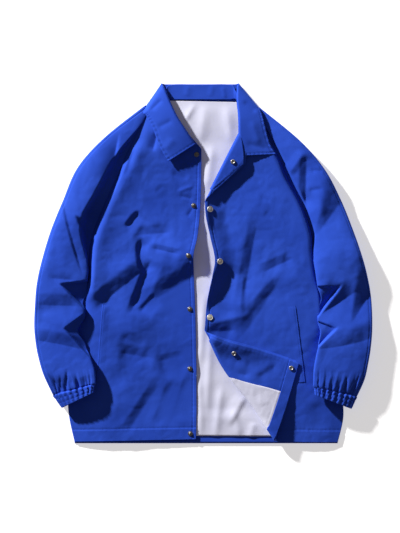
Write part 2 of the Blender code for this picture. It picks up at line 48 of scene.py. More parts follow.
photoView = {
    "image": (400, 533), "across": 840.0, "centre": (-6.9, -6.6), "height": 4000.0, "sensor": 36.0,
    "farthest": 100000.0,
}
studio = {
    "lampTowards": (-0.69, 0.72), "lampRise": 18.5, "lampAway": 6500.0, "lampRadius": 170.0,
    "lampPower": 3960.0, "lampTint": (1.0, 0.985, 0.96),
    "fill": 0.137, "fillTint": (1.0, 0.88, 0.92), "backdrop": 0.9,
    "floorSize": 9000.0, "floorDrop": 0.4, "floorTone": (0.9, 0.9, 0.9), "floorRough": 0.9, "floorGlow": 0.52,
}
white = (1, 1, 1, 1)


def addObject(name, data):
    added = bpy.data.objects.new(name, data)
    bpy.context.scene.collection.objects.link(added)
    return added


def startMaterial(name):
    material = bpy.data.materials.new(name)
    material.use_nodes = True
    return material, material.node_tree, material.node_tree.nodes["Principled BSDF"]


def setSockets(node, values):
    for name, value in values.items():
        node.inputs[name].default_value = value


def addCamera():
    data = bpy.data.cameras.new("camera")
    wide, tall = photoView["image"]
    data.sensor_width = photoView["sensor"]  # fitted to the picture's long side
    data.lens = photoView["sensor"] * photoView["height"] / (photoView["across"] * tall / wide)
    data.clip_end = photoView["farthest"] * mm
    camera = addObject("camera", data)
    camera.location = Vector((*photoView["centre"], photoView["height"])) * mm
    bpy.context.scene.camera = camera


def addLamp():  # a low lamp, far enough off that its light falls off only a little across the jacket
    data = bpy.data.lights.new("lamp", "POINT")
    data.energy = studio["lampPower"]
    data.shadow_soft_size = studio["lampRadius"] * mm
    data.color = studio["lampTint"]
    lamp = addObject("lamp", data)
    rise = math.radians(studio["lampRise"])
    level = Vector(studio["lampTowards"]).normalized() * math.cos(rise)
    lamp.location = Vector((level.x, level.y, math.sin(rise))) * studio["lampAway"] * mm
    lamp.visible_camera = False


def addFill():
    world = bpy.data.worlds.new("studio")
    world.use_nodes = True
    tree = world.node_tree
    fill = tree.nodes["Background"]
    setSockets(fill, {"Color": (*studio["fillTint"], 1), "Strength": studio["fill"]})
    backdrop = tree.nodes.new("ShaderNodeBackground")  # what shows behind the floor's far edge
    setSockets(backdrop, {"Color": white, "Strength": studio["backdrop"]})
    seen = tree.nodes.new("ShaderNodeLightPath")
    choose = tree.nodes.new("ShaderNodeMixShader")
    tree.links.new(seen.outputs["Is Camera Ray"], choose.inputs["Fac"])
    tree.links.new(fill.outputs[0], choose.inputs[1])
    tree.links.new(backdrop.outputs[0], choose.inputs[2])
    tree.links.new(choose.outputs[0], tree.nodes["World Output"].inputs["Surface"])
    bpy.context.scene.world = world
    bpy.context.scene.view_settings.view_transform = "Standard"


def addFloor():
    plane = bmesh.new()
    bmesh.ops.create_grid(plane, x_segments=2, y_segments=2, size=studio["floorSize"] / 2 * mm)
    bmesh.ops.translate(plane, verts=plane.verts, vec=(0, 0, -studio["floorDrop"] * mm))
    mesh = bpy.data.meshes.new("floor")
    plane.to_mesh(mesh)
    plane.free()
    paper, _, shader = startMaterial("white paper")
    setSockets(shader, {"Base Color": (*studio["floorTone"], 1), "Roughness": studio["floorRough"],
                        "Emission Color": white, "Emission Strength": studio["floorGlow"]})
    mesh.materials.append(paper)
    floor = addObject("floor", mesh)


addCamera()
addLamp()
addFill()
addFloor()
print("camera, light and floor ready")

# Finishes: a tight plain weave for the shell, the lining and the thread, and three snap metals.
# Patch, crumple and grain count the spots to a metre, and thread is the pitch of the weave.
shellFinish = {
    "deep": (0.0195, 0.060, 0.45), "light": (0.0275, 0.080, 0.54), "patch": 11.0, "rough": (0.60, 0.74),
    "gloss": 0.08, "sheen": 0.06, "shine": (0.16, 0.66, 1.0), "paintedGlow": 0.0,
    "thread": 0.55, "weaveDepth": 0.10, "crumple": 85.0, "crumpleDepth": 0.35,
}
# The lining's glow is painted light: an even light the cloth gives off though it is no lamp, which lightens
# its shade.
liningFinish = {
    "deep": (0.60, 0.615, 0.79), "light": (0.70, 0.715, 0.88), "patch": 16.0, "rough": (0.50, 0.66),
    "gloss": 0.3, "sheen": 0.08, "shine": (1.0, 1.0, 1.0), "paintedGlow": 0.05,
    "thread": 0.5, "weaveDepth": 0.08, "crumple": 60.0, "crumpleDepth": 0.5,
}
threadFinish = {
    **shellFinish, "deep": (0.0195, 0.062, 0.46), "light": (0.027, 0.082, 0.55), "patch": 400.0,
    "rough": (0.45, 0.6), "thread": 0.3, "weaveDepth": 0.05, "crumple": 900.0, "crumpleDepth": 0.1,
}
weaveMake = {
    "patchDetail": 4.0, "crumpleDetail": 5.0, "crumpleRough": 0.6, "wander": 0.6, "sheenRough": 0.45,
    "weaveBump": 0.2, "crumpleBump": 0.5,
}
capFinish = {"deep": (0.52, 0.50, 0.44), "light": (0.80, 0.78, 0.71), "rough": (0.34, 0.52), "metal": 0.6}
socketFinish = {"deep": (0.26, 0.26, 0.25), "light": (0.52, 0.51, 0.48), "rough": (0.30, 0.48), "metal": 0.8}
studFinish = {"deep": (0.10, 0.10, 0.10), "light": (0.30, 0.29, 0.26), "rough": (0.28, 0.48), "metal": 0.9}
metalMake = {"grain": 900.0, "detail": 5.0, "scratch": 0.12, "scratchBump": 0.1}
colourBlend = (0.3, 0.7)  # values of a texture at which a finish is all deep and all light


def addNode(tree, kind, **settings):
    node = tree.nodes.new("ShaderNode" + kind)
    for name, value in settings.items():
        if name in node.inputs:
            node.inputs[name].default_value = value
        else:
            setattr(node, name, value)
    return node


def blendColours(tree, factor, deep, light):
    ramp = addNode(tree, "ValToRGB")
    for stop, colour, position in zip(ramp.color_ramp.elements, (deep, light), colourBlend):
        stop.color = (*colour, 1)
        stop.position = position
    tree.links.new(factor, ramp.inputs["Fac"])
    return ramp.outputs["Color"]


def spreadValue(tree, factor, low, high):
    spread = addNode(tree, "MapRange")
    setSockets(spread, {"To Min": low, "To Max": high})
    tree.links.new(factor, spread.inputs["Value"])
    return spread.outputs["Result"]


def wovenCloth(name, finish):
    material, tree, shader = startMaterial(name)
    shine = (*finish["shine"], 1)
    setSockets(shader, {
        "Sheen Weight": finish["sheen"], "Sheen Roughness": weaveMake["sheenRough"], "Sheen Tint": shine,
        "Specular IOR Level": finish["gloss"], "Specular Tint": shine,
        # painted glow: an even light the cloth gives off though it is no lamp, lightening its shade as light
        # through thin cloth would
        "Emission Color": (*finish["light"], 1), "Emission Strength": finish["paintedGlow"],
    })
    place = addNode(tree, "TexCoord").outputs["Object"]
    patches = addNode(tree, "TexNoise", Scale=finish["patch"], Detail=weaveMake["patchDetail"])
    crumples = addNode(tree, "TexNoise", Scale=finish["crumple"], Detail=weaveMake["crumpleDetail"],
                       Roughness=weaveMake["crumpleRough"])
    perMetre = 2 * math.pi / (20 * finish["thread"] * mm)  # a wave texture turns 20 radians a unit
    warp = addNode(tree, "TexWave", Scale=perMetre, bands_direction="X", Distortion=weaveMake["wander"])
    weft = addNode(tree, "TexWave", Scale=perMetre, bands_direction="Y", Distortion=weaveMake["wander"])
    for texture in (patches, crumples, warp, weft):
        tree.links.new(place, texture.inputs["Vector"])
    colour = blendColours(tree, patches.outputs["Fac"], finish["deep"], finish["light"])
    tree.links.new(colour, shader.inputs["Base Color"])
    rough = spreadValue(tree, crumples.outputs["Fac"], *finish["rough"])
    tree.links.new(rough, shader.inputs["Roughness"])
    threads = addNode(tree, "Math", operation="MAXIMUM")
    tree.links.new(warp.outputs["Fac"], threads.inputs[0])
    tree.links.new(weft.outputs["Fac"], threads.inputs[1])
    weave = addNode(tree, "Bump", Strength=finish["weaveDepth"], Distance=weaveMake["weaveBump"] * mm)
    tree.links.new(threads.outputs[0], weave.inputs["Height"])
    creasing = addNode(tree, "Bump", Strength=finish["crumpleDepth"], Distance=weaveMake["crumpleBump"] * mm)
    tree.links.new(crumples.outputs["Fac"], creasing.inputs["Height"])
    tree.links.new(weave.outputs["Normal"], creasing.inputs["Normal"])
    tree.links.new(creasing.outputs["Normal"], shader.inputs["Normal"])
    return material


def snapMetal(name, finish):
    material, tree, shader = startMaterial(name)
    setSockets(shader, {"Metallic": finish["metal"]})
    place = addNode(tree, "TexCoord").outputs["Object"]
    wear = addNode(tree, "TexNoise", Scale=metalMake["grain"], Detail=metalMake["detail"])
    tree.links.new(place, wear.inputs["Vector"])
    colour = blendColours(tree, wear.outputs["Fac"], finish["deep"], finish["light"])
    tree.links.new(colour, shader.inputs["Base Color"])
    rough = spreadValue(tree, wear.outputs["Fac"], *finish["rough"])
    tree.links.new(rough, shader.inputs["Roughness"])
    scratch = addNode(tree, "Bump", Strength=metalMake["scratch"], Distance=metalMake["scratchBump"] * mm)
    tree.links.new(wear.outputs["Fac"], scratch.inputs["Height"])
    tree.links.new(scratch.outputs["Normal"], shader.inputs["Normal"])
    return material


shellBlue = wovenCloth("blue shell cloth", shellFinish)
liningWhite = wovenCloth("white lining cloth", liningFinish)
threadBlue = wovenCloth("blue sewing thread", threadFinish)
capMetal = snapMetal("silver snap metal", capFinish)
socketMetal = snapMetal("grey socket metal", socketFinish)
studMetal = snapMetal("dark stud metal", studFinish)
print("finishes ready")


def mix(start, end, share):
    return start + (end - start) * share


def soft(value):  # an eased step from 0 to 1
    value = np.clip(value, 0.0, 1.0)
    return value * value * (3 - 2 * value)


def bell(distance, width):
    return np.exp(-((distance / width) ** 2))


def softFloor(z, lowest):  # z, eased so that it never goes below lowest
    return lowest + np.logaddexp(z - lowest, 0.0)


def rowAt(rows, share):  # every column of a table, on a smooth curve through its rows
    table = np.asarray(rows, float)
    last = len(table) - 1
    place = np.clip(share, 0.0, 1.0) * last
    i = np.minimum(place.astype(int), last - 1)
    f = (place - i)[:, None]
    a, b, c, d = (table[np.clip(i + k, 0, last)] for k in (-1, 0, 1, 2))
    curve = b + 0.5 * f * (c - a + f * (2 * a - 5 * b + 4 * c - d + f * (3 * (b - c) + d - a)))
    return curve.T


def bunched(share, bend):  # even shares, drawn together on one side of a bend
    return np.interp(share, (0, bend[0], 1), (0, bend[1], 1))


def facet(rise):  # a straight ramp from 0 to 1, eased at its foot
    rise = np.clip(rise, 0.0, 1.0)
    foot = 0.25
    return np.where(rise < foot, rise * rise / (2 * foot), rise - foot / 2) / (1 - foot / 2)


# A crease runs from x1, y1 to x2, y2, and bow pushes its middle to its right. It falls off over left and
# right on its two sides. Height is below 0 for a trough. Crest is 0 for flat facets, 1 for a sharp line and 2
# for a round one. A crease fades out at both ends. A fan starts at a point, opens out on its narrower side,
# or on both where they are alike, and fades out past its end.
creaseMake = {"fade": 0.28, "fanStart": 0.7, "fanPast": 0.3, "fanWidth": (0.12, 1.1)}


def creaseHeight(creases, x, y, fan=False):
    total = np.zeros_like(x)
    for x1, y1, x2, y2, bow, left, right, height, crest in creases:
        length = math.hypot(x2 - x1, y2 - y1)
        runX, runY = (x2 - x1) / length, (y2 - y1) / length
        along = ((x - x1) * runX + (y - y1) * runY) / length
        inside = np.clip(along, 0.0, 1.0)
        off = (x - x1) * runY - (y - y1) * runX - bow * 4 * inside * (1 - inside)
        width = np.where(off > 0, right, left)
        if fan:
            opened = width * np.clip(along, *creaseMake["fanWidth"])
            width = np.where(width > min(left, right), width, opened)
            fade = soft(along / creaseMake["fanStart"])
            fade *= soft((1 + creaseMake["fanPast"] - along) / creaseMake["fanPast"])
        else:
            fade = soft(np.minimum(along, 1 - along) / creaseMake["fade"])
        reach = np.abs(off / width)
        total += height * fade * (np.exp(-reach ** crest) if crest else facet(1 - reach))
    return total


# A pocket's sides fall over a width, it deepens fastest at its tip, and no more past a reach
pocketMake = {"edge": 3.5, "reach": 1.1, "power": 0.7}


def sunk(pockets, x, y):  # three-cornered places that sink from a tip to the side between two ends
    total = np.zeros_like(x)
    for tipX, tipY, x1, y1, x2, y2, depth in pockets:
        middleX, middleY = (x1 + x2) / 2 - tipX, (y1 + y2) / 2 - tipY
        share = ((x - tipX) * middleX + (y - tipY) * middleY) / (middleX ** 2 + middleY ** 2)
        inside = np.ones_like(x)
        for endX, endY in ((x1 - tipX, y1 - tipY), (x2 - tipX, y2 - tipY)):
            turn = np.sign(endX * middleY - endY * middleX)
            away = turn * (endX * (y - tipY) - endY * (x - tipX)) / math.hypot(endX, endY)
            inside *= soft(away / pocketMake["edge"] + 0.5)
        total -= depth * np.clip(share, 0.0, pocketMake["reach"]) ** pocketMake["power"] * inside
    return total


def rumple(x, y, size, seed):  # slow uneven waves, from about -1 to 1
    return np.array([noise.noise((a / size, b / size, seed)) for a, b in zip(x, y)])


crumpleWaves = {"broad": (55, 0.7), "sharp": ((42, -1.2), (25, 0.8), (15, -0.35))}  # size and height of each


def crumple(x, y, seed):  # broad unevenness with the sharp lines of a crisp cloth
    size, height = crumpleWaves["broad"]
    z = height * rumple(x, y, size, seed)
    for size, height in crumpleWaves["sharp"]:
        z += height * np.abs(rumple(x, y, size, seed + size))
    return z


def addPiece(name, mesh, material, *nodes):
    mesh.materials.append(material)
    mesh.shade_smooth()
    piece = addObject(name, mesh)
    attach(piece, "root")
    if nodes:
        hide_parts(*nodes)
    return piece


weldGap = 0.01  # points nearer to each other than this become one


def layCloth(node, surface, columns, rows, thickness, material, side=0.0, ring=False):
    grid = bmesh.new()
    bmesh.ops.create_grid(grid, x_segments=columns, y_segments=rows, size=0.5)
    share = np.array([(vert.co.x, vert.co.y) for vert in grid.verts]) + 0.5
    places = np.stack(surface(share[:, 0], share[:, 1]), axis=1) * mm
    for vert, place in zip(grid.verts, places):
        vert.co = place
    if ring:
        bmesh.ops.remove_doubles(grid, verts=grid.verts, dist=weldGap * mm)
    mesh = bpy.data.meshes.new(node + "_cloth")
    grid.to_mesh(mesh)
    grid.free()
    piece = addPiece(node + "_cloth", mesh, material, node)
    solid = piece.modifiers.new("wall", "SOLIDIFY")
    solid.thickness = thickness * mm
    solid.offset = side
    return piece


# Both fronts. Each row is a section from the hem to the neck.
# Columns: side x, y, z, front edge x, y, body z, edge z, share over which the cloth rises from the side
wall = {"shell": 1.5, "lining": 1.0, "facing": 1.2, "floorRest": 1.15}
rightFront = {
    "rows": [
        (-270, -374, 2.7, -15, -369, 8, 5.5, 0.22),
        (-281, -325, 2.7, -14, -322, 10, 5.5, 0.40),
        (-284, -285, 2.7, -14, -275, 11, 5.5, 0.45),
        (-280, -245, 2.7, -14, -225, 12, 5.5, 0.50),
        (-274, -192, 2.7, -15, -170, 15, 5.5, 0.45),
        (-265, -140, 2.7, -16, -120, 19, 6.0, 0.28),
        (-253, -77, 2.7, -18, -66, 20, 7.5, 0.12),
        (-243, -28, 2.9, -20, -15, 19, 13.5, 0.08),
        (-240, 8, 6.0, -20, 20, 16, 20, 0.08),
        (-232, 57, 6.0, -12, 57, 15, 14, 0.09),
        (-209, 118, 6.0, -7, 105, 13, 7.0, 0.11),
        (-181, 179, 6.5, -5, 150, 12, 6.5, 0.13),
        (-152, 246, 7.5, -4, 195, 13, 7.0, 0.20),
        (-118, 313, 8.0, -4, 240, 15, 9.0, 0.35),
    ],
    "neckBulge": 20.0, "hemBend": 1.0, "edgeFrom": 0.35, "turns": [],
    "seamRidge": {"height": 6.0, "at": 10.0, "outer": 7.0, "inner": 30.0, "low": -95.0, "high": 262.0},
    "lips": [],
    "creases": [
        (-100, 6, -238, -103, 0, 90, 30, -7.2, 0),
        (-128, 56, -120, -22, 9, 34, 11, -6.5, 0),
        (-108, 12, -154, -110, 0, 30, 13, -7.5, 0),
        (-160, -109, 50, 10, 0, 36, 110, -7.6, 0),
        (-98, -64, -136, -106, 0, 30, 10, -4.5, 0),
        (-124, 10, -196, -40, 0, 24, 30, 2.5, 2.0),
        (-180, -186, -100, -200, 0, 24, 44, -4.4, 0),
        (-100, -206, -38, -192, 0, 14, 32, -2.8, 0),
        (-96, -213, -30, -217, 0, 16, 34, -2.2, 0),
        (-92, -231, -36, -219, 0, 9, 18, -1.4, 1.5),
        (-176, -150, -120, -176, 0, 20, 40, -1.8, 0),
        (-88, -246, -164, -362, 0, 60, 20, -4.6, 0),
        (-62, -242, -96, -344, 0, 44, 15, -4.2, 0),
        (-25, -230, -58, -330, 0, 44, 14, -4.0, 0),
        (-142, 310, -160, 200, 0, 8, 16, -4.5, 1.4),
        (-95, 276, -107, 232, 0, 5, 10, -3.2, 1.5),
        (-146, 242, -163, 174, 0, 8, 10, -2.2, 1.8),
        (-131, 110, -163, 72, 2, 50, 8, -4.6, 0),
        (-150, 58, -60, 66, 0, 22, 44, -4.2, 0),
        (-138, 76, -98, 50, 0, 9, 16, -1.6, 1.6),
        (-116, 34, -46, 18, 0, 12, 34, -4.2, 0),
        (-58, 149, -18, 163, 0, 4, 4, 1.2, 1.5),
        (-52, 142, -20, 134, 0, 4, 4, -1.4, 1.5),
        (-21, 117, -34, 96, 0, 4, 4, -1.4, 1.5),
        (-70, 190, -30, 176, 0, 9, 7, -1.0, 1.8),
        (-190, -250, -150, -222, 0, 14, 12, -1.4, 1.9),
        (-210, -330, -170, -290, 0, 16, 14, 1.2, 1.9),
    ],
    "cut": (0.30, 0.80), "area": 0.172,
}
leftFront = {
    "rows": [
        (282, -375, 2.7, -21, -354, 8, 9, 0.20),
        (292, -335, 2.7, -18, -312, 9, 9, 0.25),
        (294, -305, 2.7, -12, -264, 10, 10, 0.30),
        (289, -255, 2.7, -7, -217, 11, 12, 0.35),
        (279, -192, 2.7, -1, -172, 12, 16, 0.35),
        (268, -140, 2.7, 3, -136, 13, 18, 0.14),
        (249, -77, 2.7, 8, -80, 15, 21, 0.03),
        (236, -24, 2.9, 19, -26, 16, 24, 0.02),
        (230, 20, 6.5, 24, 10, 17, 24, 0.02),
        (226, 63, 6.0, 14, 57, 18, 23, 0.02),
        (205, 122, 6.0, 4, 110, 18, 23, 0.025),
        (176, 178, 6.5, 6, 165, 18, 20, 0.04),
        (154, 229, 7.5, 9, 205, 18, 19, 0.05),
        (113, 309, 8.0, 13, 245, 17, 18, 0.20),
    ],
    "neckBulge": -16.0, "hemBend": 2.5, "edgeFrom": 0.78,
    # A turn's line has a roll with a radius at each end. Settle is the share of its height that the cloth
    # beyond loses, and bulge pushes the roll's middle out.
    "turns": [
        {"upper": (75.5, 263), "lower": (8, 132), "radius": (3.6, 2.8), "settle": 0.0, "bulge": 0.0},
        {"upper": (4, -136), "lower": (164, -378), "radius": (3.0, 6.0), "settle": 0.88, "bulge": 9.0},
    ],
    # The bulge is full at rise and gone at end, and fades over a distance on the turned and the flat side.
    "rollBulge": {"rise": 0.3, "end": 0.72, "fall": 0.4, "turned": 70.0, "flat": 50.0},
    "flapCreases": [
        (110, -244, 158, -210, 0, 9, 11, -1.4, 1.6),
        (100, -238, 152, -204, 0, 9, 9, 0.9, 1.7),
        (56, -222, 104, -233, 0, 8, 8, -1.8, 1.8),
    ],
    "flapCurl": {"height": 11.0, "reach": 36.0, "low": 0.10, "lowFade": 0.15, "high": 0.31, "top": 0.37},
    "seamRidge": {"height": 2.5, "at": 11.0, "outer": 6.0, "inner": 30.0, "low": -60.0, "high": 275.0},
    # places where the open edge curls up: y, half length, reach and height
    "lips": [(-30, 46, 13, 2.5), (104, 32, 16, 5.0)],
    "creases": [
        (118, 112, 76, -112, 0, 80, 21, -4.7, 0),
        (84, -16, 77, -110, 0, 10, 46, 2.8, 0),
        (170, -10, 66, -170, -6, 90, 24, -3.4, 0),
        (168, -6, 66, -116, 0, 22, 60, 3.2, 0),
        (118, -22, 194, 14, 0, 20, 40, -3.8, 0),
        (68, 2, 4, -114, 0, 60, 30, -8.0, 0),
        (36, 116, 60, 26, 0, 16, 16, -2.4, 1.8),
        (14, 96, 120, 216, 0, 24, 44, -4.0, 1.8),
        (-2, -131, 106, -104, 0, 10, 8, 2.2, 1.5),
        (0, -143, 74, -140, 0, 8, 16, -2.4, 1.5),
        (118, 140, 142, 128, 0, 6, 5, -1.0, 1.6),
        (128, 108, 146, 92, 0, 7, 6, -0.9, 1.6),
        (170, -150, 196, -60, 0, 18, 16, 1.2, 2.0),
        (236, -60, 214, -240, 0, 26, 24, 1.4, 2.0),
        (236, -290, 250, -350, 0, 16, 14, -1.2, 1.9),
    ],
    "cut": (0.33, 0.80), "area": 0.190,
}
# Hem rows and edge columns are two shares: of the grid, from its start, and of the cloth that this covers
frontMake = {
    "columns": 112, "rows": 306, "flat": 92, "roll": 14, "turned": 28, "leastTurn": 0.08,
    "hemRows": (0.08, 0.045), "edgeColumns": (0.88, 0.945), "search": 22, "neckFade": 6,
    "settleLength": 95.0, "flapFrom": 20.0, "ridgeFade": 40.0, "creaseFrom": 14.0, "crumpleFrom": 30.0,
    "crumpleSeed": 3.1, "lowest": (2.4, 4.8),
}
frontSewing = {
    "hem": 25.0, "edge": 8.0, "seam": 5.0, "groove": 0.4, "grooveWidth": 1.3, "band": 0.5, "bandSlope": 3.0,
    "pucker": 0.1, "puckerRun": 9.0, "puckerWidth": 5.0,
}


class FrontCloth:
    def __init__(self, cut):
        self.cut = cut

    def width(self, v):  # from the side seam to the open edge
        row = rowAt(self.cut["rows"], v)
        return np.abs(row[3] - row[0])

    def plan(self, u, v):
        sideX, sideY, _, edgeX, edgeY, _, _, _ = rowAt(self.cut["rows"], v)
        bulge = self.cut["neckBulge"] * np.sin(np.pi * u) * v ** frontMake["neckFade"]
        return mix(sideX, edgeX, u), mix(sideY, edgeY, u ** self.cut["hemBend"]) + bulge

    def shareAt(self, x, y):  # the shares across and along of a point of the plan
        low, high = np.zeros_like(x), np.ones_like(x)
        for _ in range(frontMake["search"]):
            v = (low + high) / 2
            sideX, sideY, _, edgeX, edgeY, _, _, _ = rowAt(self.cut["rows"], v)
            u = (x - sideX) / (edgeX - sideX)
            short = mix(sideY, edgeY, np.clip(u, 0.0, 1.0) ** self.cut["hemBend"]) < y
            low, high = np.where(short, v, low), np.where(short, high, v)
        return np.clip(u, 0.0, 1.0), v

    def form(self, u, v, x, y):
        cut, make = self.cut, frontMake
        sideX, _, sideZ, edgeX, _, bodyZ, edgeZ, rise = rowAt(cut["rows"], v)
        fromSide, fromEdge = u * np.abs(edgeX - sideX), (1 - u) * np.abs(edgeX - sideX)
        z = mix(sideZ, bodyZ, np.sin(np.pi / 2 * np.minimum(u / rise, 1.0)))
        z += (edgeZ - bodyZ) * soft((u - cut["edgeFrom"]) / (1 - cut["edgeFrom"]))
        ridge = cut["seamRidge"]
        beside = np.where(fromSide < ridge["at"], ridge["outer"], ridge["inner"])
        window = soft((y - ridge["low"]) / make["ridgeFade"]) * soft((ridge["high"] - y) / make["ridgeFade"])
        z += ridge["height"] * bell(fromSide - ridge["at"], beside) * window
        for middle, half, reach, height in cut["lips"]:
            z += height * soft(1 - fromEdge / reach) * bell(y - middle, half)
        z += creaseHeight(cut["creases"], x, y) * soft(fromSide / make["creaseFrom"])
        inward = soft(fromSide / make["crumpleFrom"])
        z += crumple(x, y, make["crumpleSeed"]) * inward
        return softFloor(z, mix(*make["lowest"], inward))

    def sewing(self, u, v, x, y):  # bands and stitched grooves along the hem and the front edge
        sew, hemRow = frontSewing, self.cut["rows"][0]
        fromHem = y - mix(hemRow[1], hemRow[4], u ** self.cut["hemBend"])
        fromEdge = (1 - u) * self.width(v)
        z = np.zeros_like(x)
        for away, at, along in ((fromHem, sew["hem"], x), (fromEdge, sew["edge"], y)):
            z += sew["band"] * soft((at - away) / sew["bandSlope"])
            z -= sew["groove"] * bell(away - at, sew["grooveWidth"])
            waves = np.sin(2 * np.pi * along / sew["puckerRun"])
            z += sew["pucker"] * waves * bell(away - at, sew["puckerWidth"])
        return z

    def height(self, u, v, x, y):
        return self.form(u, v, x, y) + self.sewing(u, v, x, y)

    def formAt(self, x, y):
        u, v = self.shareAt(x, y)
        return self.form(u, v, x, y)

    def beyond(self, turn, x, y):  # how far past a turn line, its point, share along it, way out and radius
        (x1, y1), (x2, y2) = turn["upper"], turn["lower"]
        length = math.hypot(x2 - x1, y2 - y1)
        runX, runY = (x2 - x1) / length, (y2 - y1) / length
        along = (x - x1) * runX + (y - y1) * runY
        past = (x - x1) * runY - (y - y1) * runX
        radius = mix(*turn["radius"], soft(along / length))
        return past, x1 + runX * along, y1 + runY * along, along / length, runY, -runX, radius

    def point(self, u, v):
        planX, planY = self.plan(u, v)
        x, y, z = planX.copy(), planY.copy(), self.height(u, v, planX, planY)
        for turn in self.cut["turns"]:
            past, lineX, lineY, share, outX, outY, radius = self.beyond(turn, planX, planY)
            arc = past / radius
            rolled = (arc > 0) & (arc < np.pi)
            laid = arc >= np.pi
            swing = radius * np.sin(arc)
            x[rolled] = (lineX + outX * swing)[rolled]
            y[rolled] = (lineY + outY * swing)[rolled]
            z[rolled] = self.formAt(lineX[rolled], lineY[rolled]) + (radius * (1 - np.cos(arc)))[rolled]
            back = past - np.pi * radius
            x[laid] = (lineX - outX * back)[laid]
            y[laid] = (lineY - outY * back)[laid]
            lift = 2 * radius * (1 - turn["settle"] * soft(back / frontMake["settleLength"]))
            z[laid] = self.formAt(x[laid], y[laid]) + lift[laid] - self.sewing(u, v, planX, planY)[laid]
            flapFade = soft(back[laid] / frontMake["flapFrom"])
            z[laid] += creaseHeight(self.cut["flapCreases"], x[laid], y[laid]) * flapFade
            if turn["bulge"]:  # the corner's roll bulges out of the straight line, and its far edge curls up
                roll, curl = self.cut["rollBulge"], self.cut["flapCurl"]
                bulge = turn["bulge"] * soft(share / roll["rise"])
                bulge *= soft((roll["end"] - share) / roll["fall"])
                near = np.where(past > 0, 1 - soft(back / roll["turned"]), 1 - soft(-past / roll["flat"]))
                x += outX * bulge * near
                y += outY * bulge * near
                curled = soft(1 - (1 - u) * self.width(v) / curl["reach"])
                curled *= soft((v - curl["low"]) / curl["lowFade"])
                curled *= soft((curl["top"] - v) / (curl["top"] - curl["high"]))
                z[laid] += (curl["height"] * curled)[laid]
        return x, y, z

    def shareAtArc(self, turn, v, arc):  # the share across at which a section has gone round an arc
        low, high = np.zeros_like(v), np.ones_like(v)
        for _ in range(frontMake["search"]):
            u = (low + high) / 2
            past, _, _, _, _, _, radius = self.beyond(turn, *self.plan(u, v))
            short = past < arc * radius
            low, high = np.where(short, u, low), np.where(short, high, u)
        return high

    def gathered(self, u, v):  # columns drawn together at the rolls, where the cloth bends most
        flat, roll, turned = frontMake["flat"], frontMake["roll"], frontMake["turned"]
        turns = self.cut["turns"]
        start = np.minimum.reduce([self.shareAtArc(turn, v, 0.0) for turn in turns])
        end = np.minimum.reduce([self.shareAtArc(turn, v, np.pi) for turn in turns])
        start = np.minimum(start, 1 - frontMake["leastTurn"])
        end = np.minimum(end, mix(start, 1.0, roll / (roll + turned)))
        column = u * (flat + roll + turned)
        share = start * column / flat
        share = np.where(column > flat, mix(start, end, (column - flat) / roll), share)
        share = np.where(column > flat + roll, mix(end, 1.0, (column - flat - roll) / turned), share)
        return self.point(np.clip(share, 0.0, 1.0), v)

    def inside(self, u, v, depth):  # points off the inner side of the cloth
        step = 0.003
        across = np.stack(self.point(u + step, v)) - np.stack(self.point(u - step, v))
        along = np.stack(self.point(u, v + step)) - np.stack(self.point(u, np.maximum(v - step, 0.0)))
        off = np.cross(across, along, axis=0)
        return np.stack(self.point(u, v)) + off / np.linalg.norm(off, axis=0) * depth


rightCloth, leftCloth = FrontCloth(rightFront), FrontCloth(leftFront)


def rightSurface(u, v):
    return rightCloth.point(bunched(u, frontMake["edgeColumns"]), bunched(v, frontMake["hemRows"]))


def leftSurface(u, v):
    return leftCloth.gathered(u, bunched(v, frontMake["hemRows"]))


leftColumns = frontMake["flat"] + frontMake["roll"] + frontMake["turned"]
rightGrid, leftGrid = (frontMake["columns"], frontMake["rows"]), (leftColumns, frontMake["rows"])
frontRight = layCloth("front_right", rightSurface, *rightGrid, wall["shell"], shellBlue)
frontLeft = layCloth("front_left", leftSurface, *leftGrid, wall["shell"], shellBlue)
print("fronts ready")

# The pieces that show on the turned corners: their turn, ends along and across the panel, columns and rows
turnedPieces = {
    "lapel_facing": {
        "turn": 0, "along": (0.83, 0.985), "across": (0.0, 0.992), "grid": (26, 60), "finish": shellBlue,
        "cut": (0.045, 0.14), "area": 0.0034,
    },
    "corner_facing": {
        "turn": 1, "along": (0.0435, 0.335), "across": (0.775, 0.993), "grid": (34, 90), "finish": shellBlue,
        "cut": (0.07, 0.23), "area": 0.012,
    },
    "corner_lining": {
        "turn": 1, "along": (0.0435, 0.240), "across": (0.0, 0.7745), "grid": (44, 70), "finish": liningWhite,
        "cut": (0.12, 0.13), "area": 0.008,
    },
    "corner_hem": {
        "turn": 1, "along": (0.004, 0.0465), "across": (0.0, 0.993), "grid": (70, 14), "finish": shellBlue,
        "cut": (0.19, 0.03), "area": 0.005, "lift": 1.3, "thickness": 0.6,
    },
}
turnedMake = {"fromArc": 0.25 * math.pi, "lift": 0.9, "spacing": 1.7}


def layTurnedPiece(name, cut):
    turn = leftFront["turns"][cut["turn"]]
    lift = wall["shell"] / 2 + turnedMake["lift"] + cut.get("lift", 0.0)
    thickness = cut.get("thickness", wall["facing"])

    def surface(u, v):
        along = mix(*cut["along"], v)
        start = np.maximum(leftCloth.shareAtArc(turn, along, turnedMake["fromArc"]), cut["across"][0])
        share = mix(start, cut["across"][1], u ** turnedMake["spacing"])
        return leftCloth.inside(share, along, lift)

    return layCloth(name, surface, *cut["grid"], thickness, cut["finish"], side=1.0)


turnedCloth = {name: layTurnedPiece(name, cut) for name, cut in turnedPieces.items()}
print("turned corners ready")

